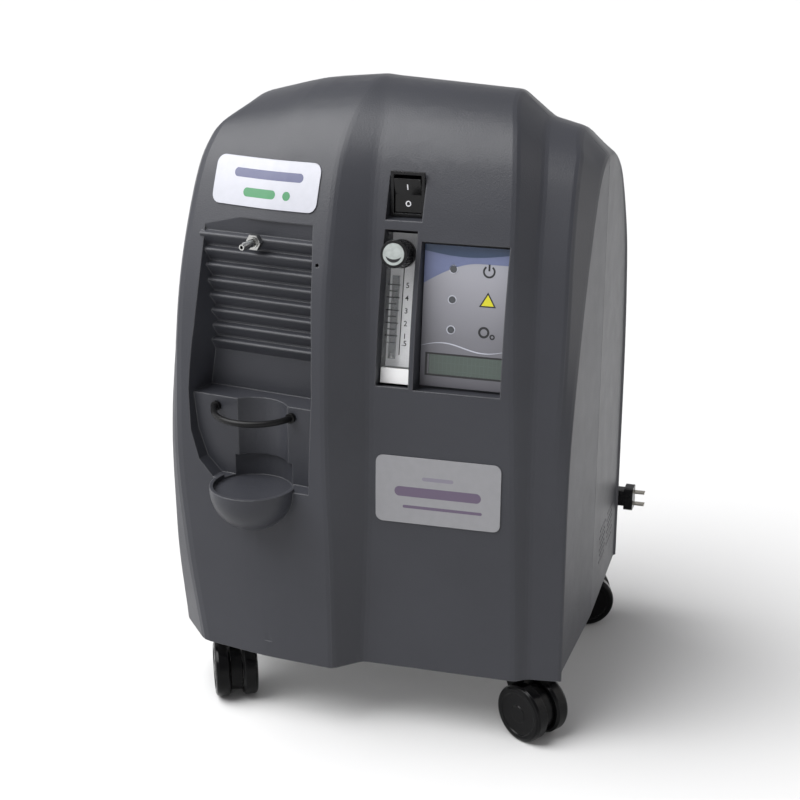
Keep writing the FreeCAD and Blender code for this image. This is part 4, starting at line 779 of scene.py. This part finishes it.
def panel_marks():
    """The panel's bands, plain signs, display rim and lamp rings."""
    sides = (-PLATE_HALF, PLATE_HALF)
    on_panel("panel_band_pale", [wave_band(*sides, pale_edge, plate_head)], ink_lilac)
    on_panel("panel_band_dark", [wave_band(*sides, dark_edge, plate_head)], ink_slate, lift=INK / MM)
    on_panel("panel_swoosh", [wave_band(*sides, swoosh_low, swoosh_high)], ink_pale)

    power_row, warning_row, ring_row = LAMP_ROWS
    power = [
        arc_band(3.6, 5.1, 125, 290, (SYMBOL_X, power_row)),
        bar(SYMBOL_X - 0.75, SYMBOL_X + 0.75, power_row + 0.5, power_row + 6),
    ]
    on_panel("symbol_power", power, ink_black)
    outer, inner = (circle(radius, (SYMBOL_X, warning_row), 3, 90) for radius in (8.0, 5.9))
    on_panel("symbol_triangle_edge", [outer, inner], ink_black)
    on_panel("symbol_triangle", [inner], ink_yellow)
    rings = ring(4.6, 2.8, (SYMBOL_X - 2, ring_row)) + ring(2.2, 1.0, (SYMBOL_X + 5, ring_row - 3.2))
    on_panel("symbol_rings", rings, ink_black)
    on_panel("display_frame", [bar(*WINDOW_RIM), bar(*WINDOW)], ink_black)
    for i, z in enumerate(LAMP_ROWS):
        on_panel(f"lamp_ring_{i}", ring(3.6, 2.8, (LAMP_X, z)), ink_pale)


flow_marks()
flow_metal()
panel_marks()


# --- switch marks and knob mark ---

# The rocker's pivot, its lean at rest in degrees, and in millimetres from the pivot the middle
# of each half's face; each half slopes 2.4 mm over its 14 mm.
SWITCH = (28.5, -69.0, 452.5)
ROCKER_REST = 8.0
HALF_FACE = -7.8
HALF_MIDDLE = 7.0
HALF_SLOPE = math.atan2(2.4, 14)
KNOB_FACE = (0, -26.3, 44)


def rocker_marks():
    """I and O, each on its own half of the rocker."""
    rest = Matrix.Translation(Vector(SWITCH) * MM) @ Matrix.Rotation(math.radians(ROCKER_REST), 4, "X")
    for name, loops, side in (
        ("rocker_mark_i", [bar(-0.45, 0.45, -2.4, 2.4)], 1),
        ("rocker_mark_o", ring(2.3, 1.5, (0, 0)), -1),
    ):
        half = rest @ Matrix.Translation((0, HALF_FACE * MM, side * HALF_MIDDLE * MM))
        half = half @ Matrix.Rotation(HALF_SLOPE * side, 4, "X")
        print_loops(name, loops, half, (0, -0.1, 0), ink_white, body="rocker")


def knob_mark():
    """A crescent along the lower edge of the knob's cap."""
    crescent = circle(6.6, (0, 0), 28, 195, 150) + circle(10.0, (0, 6.0), 28, 309.6, -79.2)
    print_loops("knob_crescent", [crescent], FLOW, KNOB_FACE, ink_black, body="knob")


rocker_marks()
knob_mark()


# ---------------------------------------------------------------------------------------------
# Power cord, put away on the hook behind the machine
# ---------------------------------------------------------------------------------------------

CORD_DIAMETER = 0.0068
SUPPLY_ROUTE = [
    (-0.026, 0.167, 0.088), (0.028, 0.167, 0.088), (0.052, 0.1645, 0.105), (0.084, 0.1628, 0.1173),
]
PLUG_ROUTE = [
    (0.098, 0.1694, 0.1176), (0.113, 0.1688, 0.1168), (0.125, 0.167, 0.1135), (0.138, 0.167, 0.1135),
]

# The coil: its middle in X and Z, the Y of the layer at the cover and of the one outside it, the
# turns' radii from the outside in, and the share of a turn over which it steps to the next.
COIL_CENTRE = (0.092, 0.1665)
LAYER_NEAR, LAYER_FAR = 0.1628, 0.1698
TURN_RADII = (0.049, 0.042, 0.035, 0.028)
TURN_PITCH = TURN_RADII[0] - TURN_RADII[1]
EYE = len(TURN_RADII) - 1
TURNS = 2 * EYE + 1
RADIUS_STEP = 1 / 6
LAYER_STEP_FROM, LAYER_STEP = 0.55, 0.25
POINTS_PER_TURN = 16
# The curve runs inside its points, so they stand this much further out than the turn's radius.
POINT_SWELL = 1 / math.cos(math.pi / POINTS_PER_TURN) ** 0.75


def ease(t):
    """0 to 1 with a level start and end, and held beyond them."""
    t = min(max(t, 0.0), 1.0)
    return t * t * (3 - 2 * t)


def coil_point(turn):
    """A point of the coil after so many turns from its lowest point: three turns inwards in the
    layer at the cover, one at the eye, and three outwards in the layer outside it."""
    whole, part = divmod(turn, 1.0)
    whole = int(whole)
    if whole < EYE:
        radius = TURN_RADII[whole] - TURN_PITCH * ease((part - 1) / RADIUS_STEP + 1)
        y = LAYER_NEAR
    elif whole == EYE:
        radius = TURN_RADII[EYE]
        y = LAYER_NEAR + (LAYER_FAR - LAYER_NEAR) * ease((part - LAYER_STEP_FROM) / LAYER_STEP)
    else:
        radius = TURN_RADII[EYE] + TURN_PITCH * (whole - EYE - 1 + ease(part / RADIUS_STEP))
        y = LAYER_FAR
    angle = math.radians(-90) + 2 * math.pi * part
    reach = radius * POINT_SWELL
    return (COIL_CENTRE[0] + reach * math.cos(angle), y, COIL_CENTRE[1] + reach * math.sin(angle))


def make_cord():
    """One smooth curve from the outlet round the hook and into the plug."""
    points = list(SUPPLY_ROUTE)
    for i in range(1, TURNS * POINTS_PER_TURN):
        points.append(coil_point(i / POINTS_PER_TURN))
    points += PLUG_ROUTE
    curve = bpy.data.curves.new("power_cord", "CURVE")
    curve.dimensions = "3D"
    curve.bevel_depth = CORD_DIAMETER / 2
    curve.bevel_resolution = 6
    curve.resolution_u = 6
    curve.use_fill_caps = True
    spline = curve.splines.new("NURBS")
    spline.points.add(len(points) - 1)
    for target, point in zip(spline.points, points):
        target.co = (*point, 1.0)
    spline.order_u = 3
    spline.use_endpoint_u = True
    cord = bpy.data.objects.new("power_cord", curve)
    bpy.context.collection.objects.link(cord)
    curve.materials.append(cord_skin.material)
    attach(cord, "cabinet")
    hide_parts("cord_tube", "cord_coil")


make_cord()
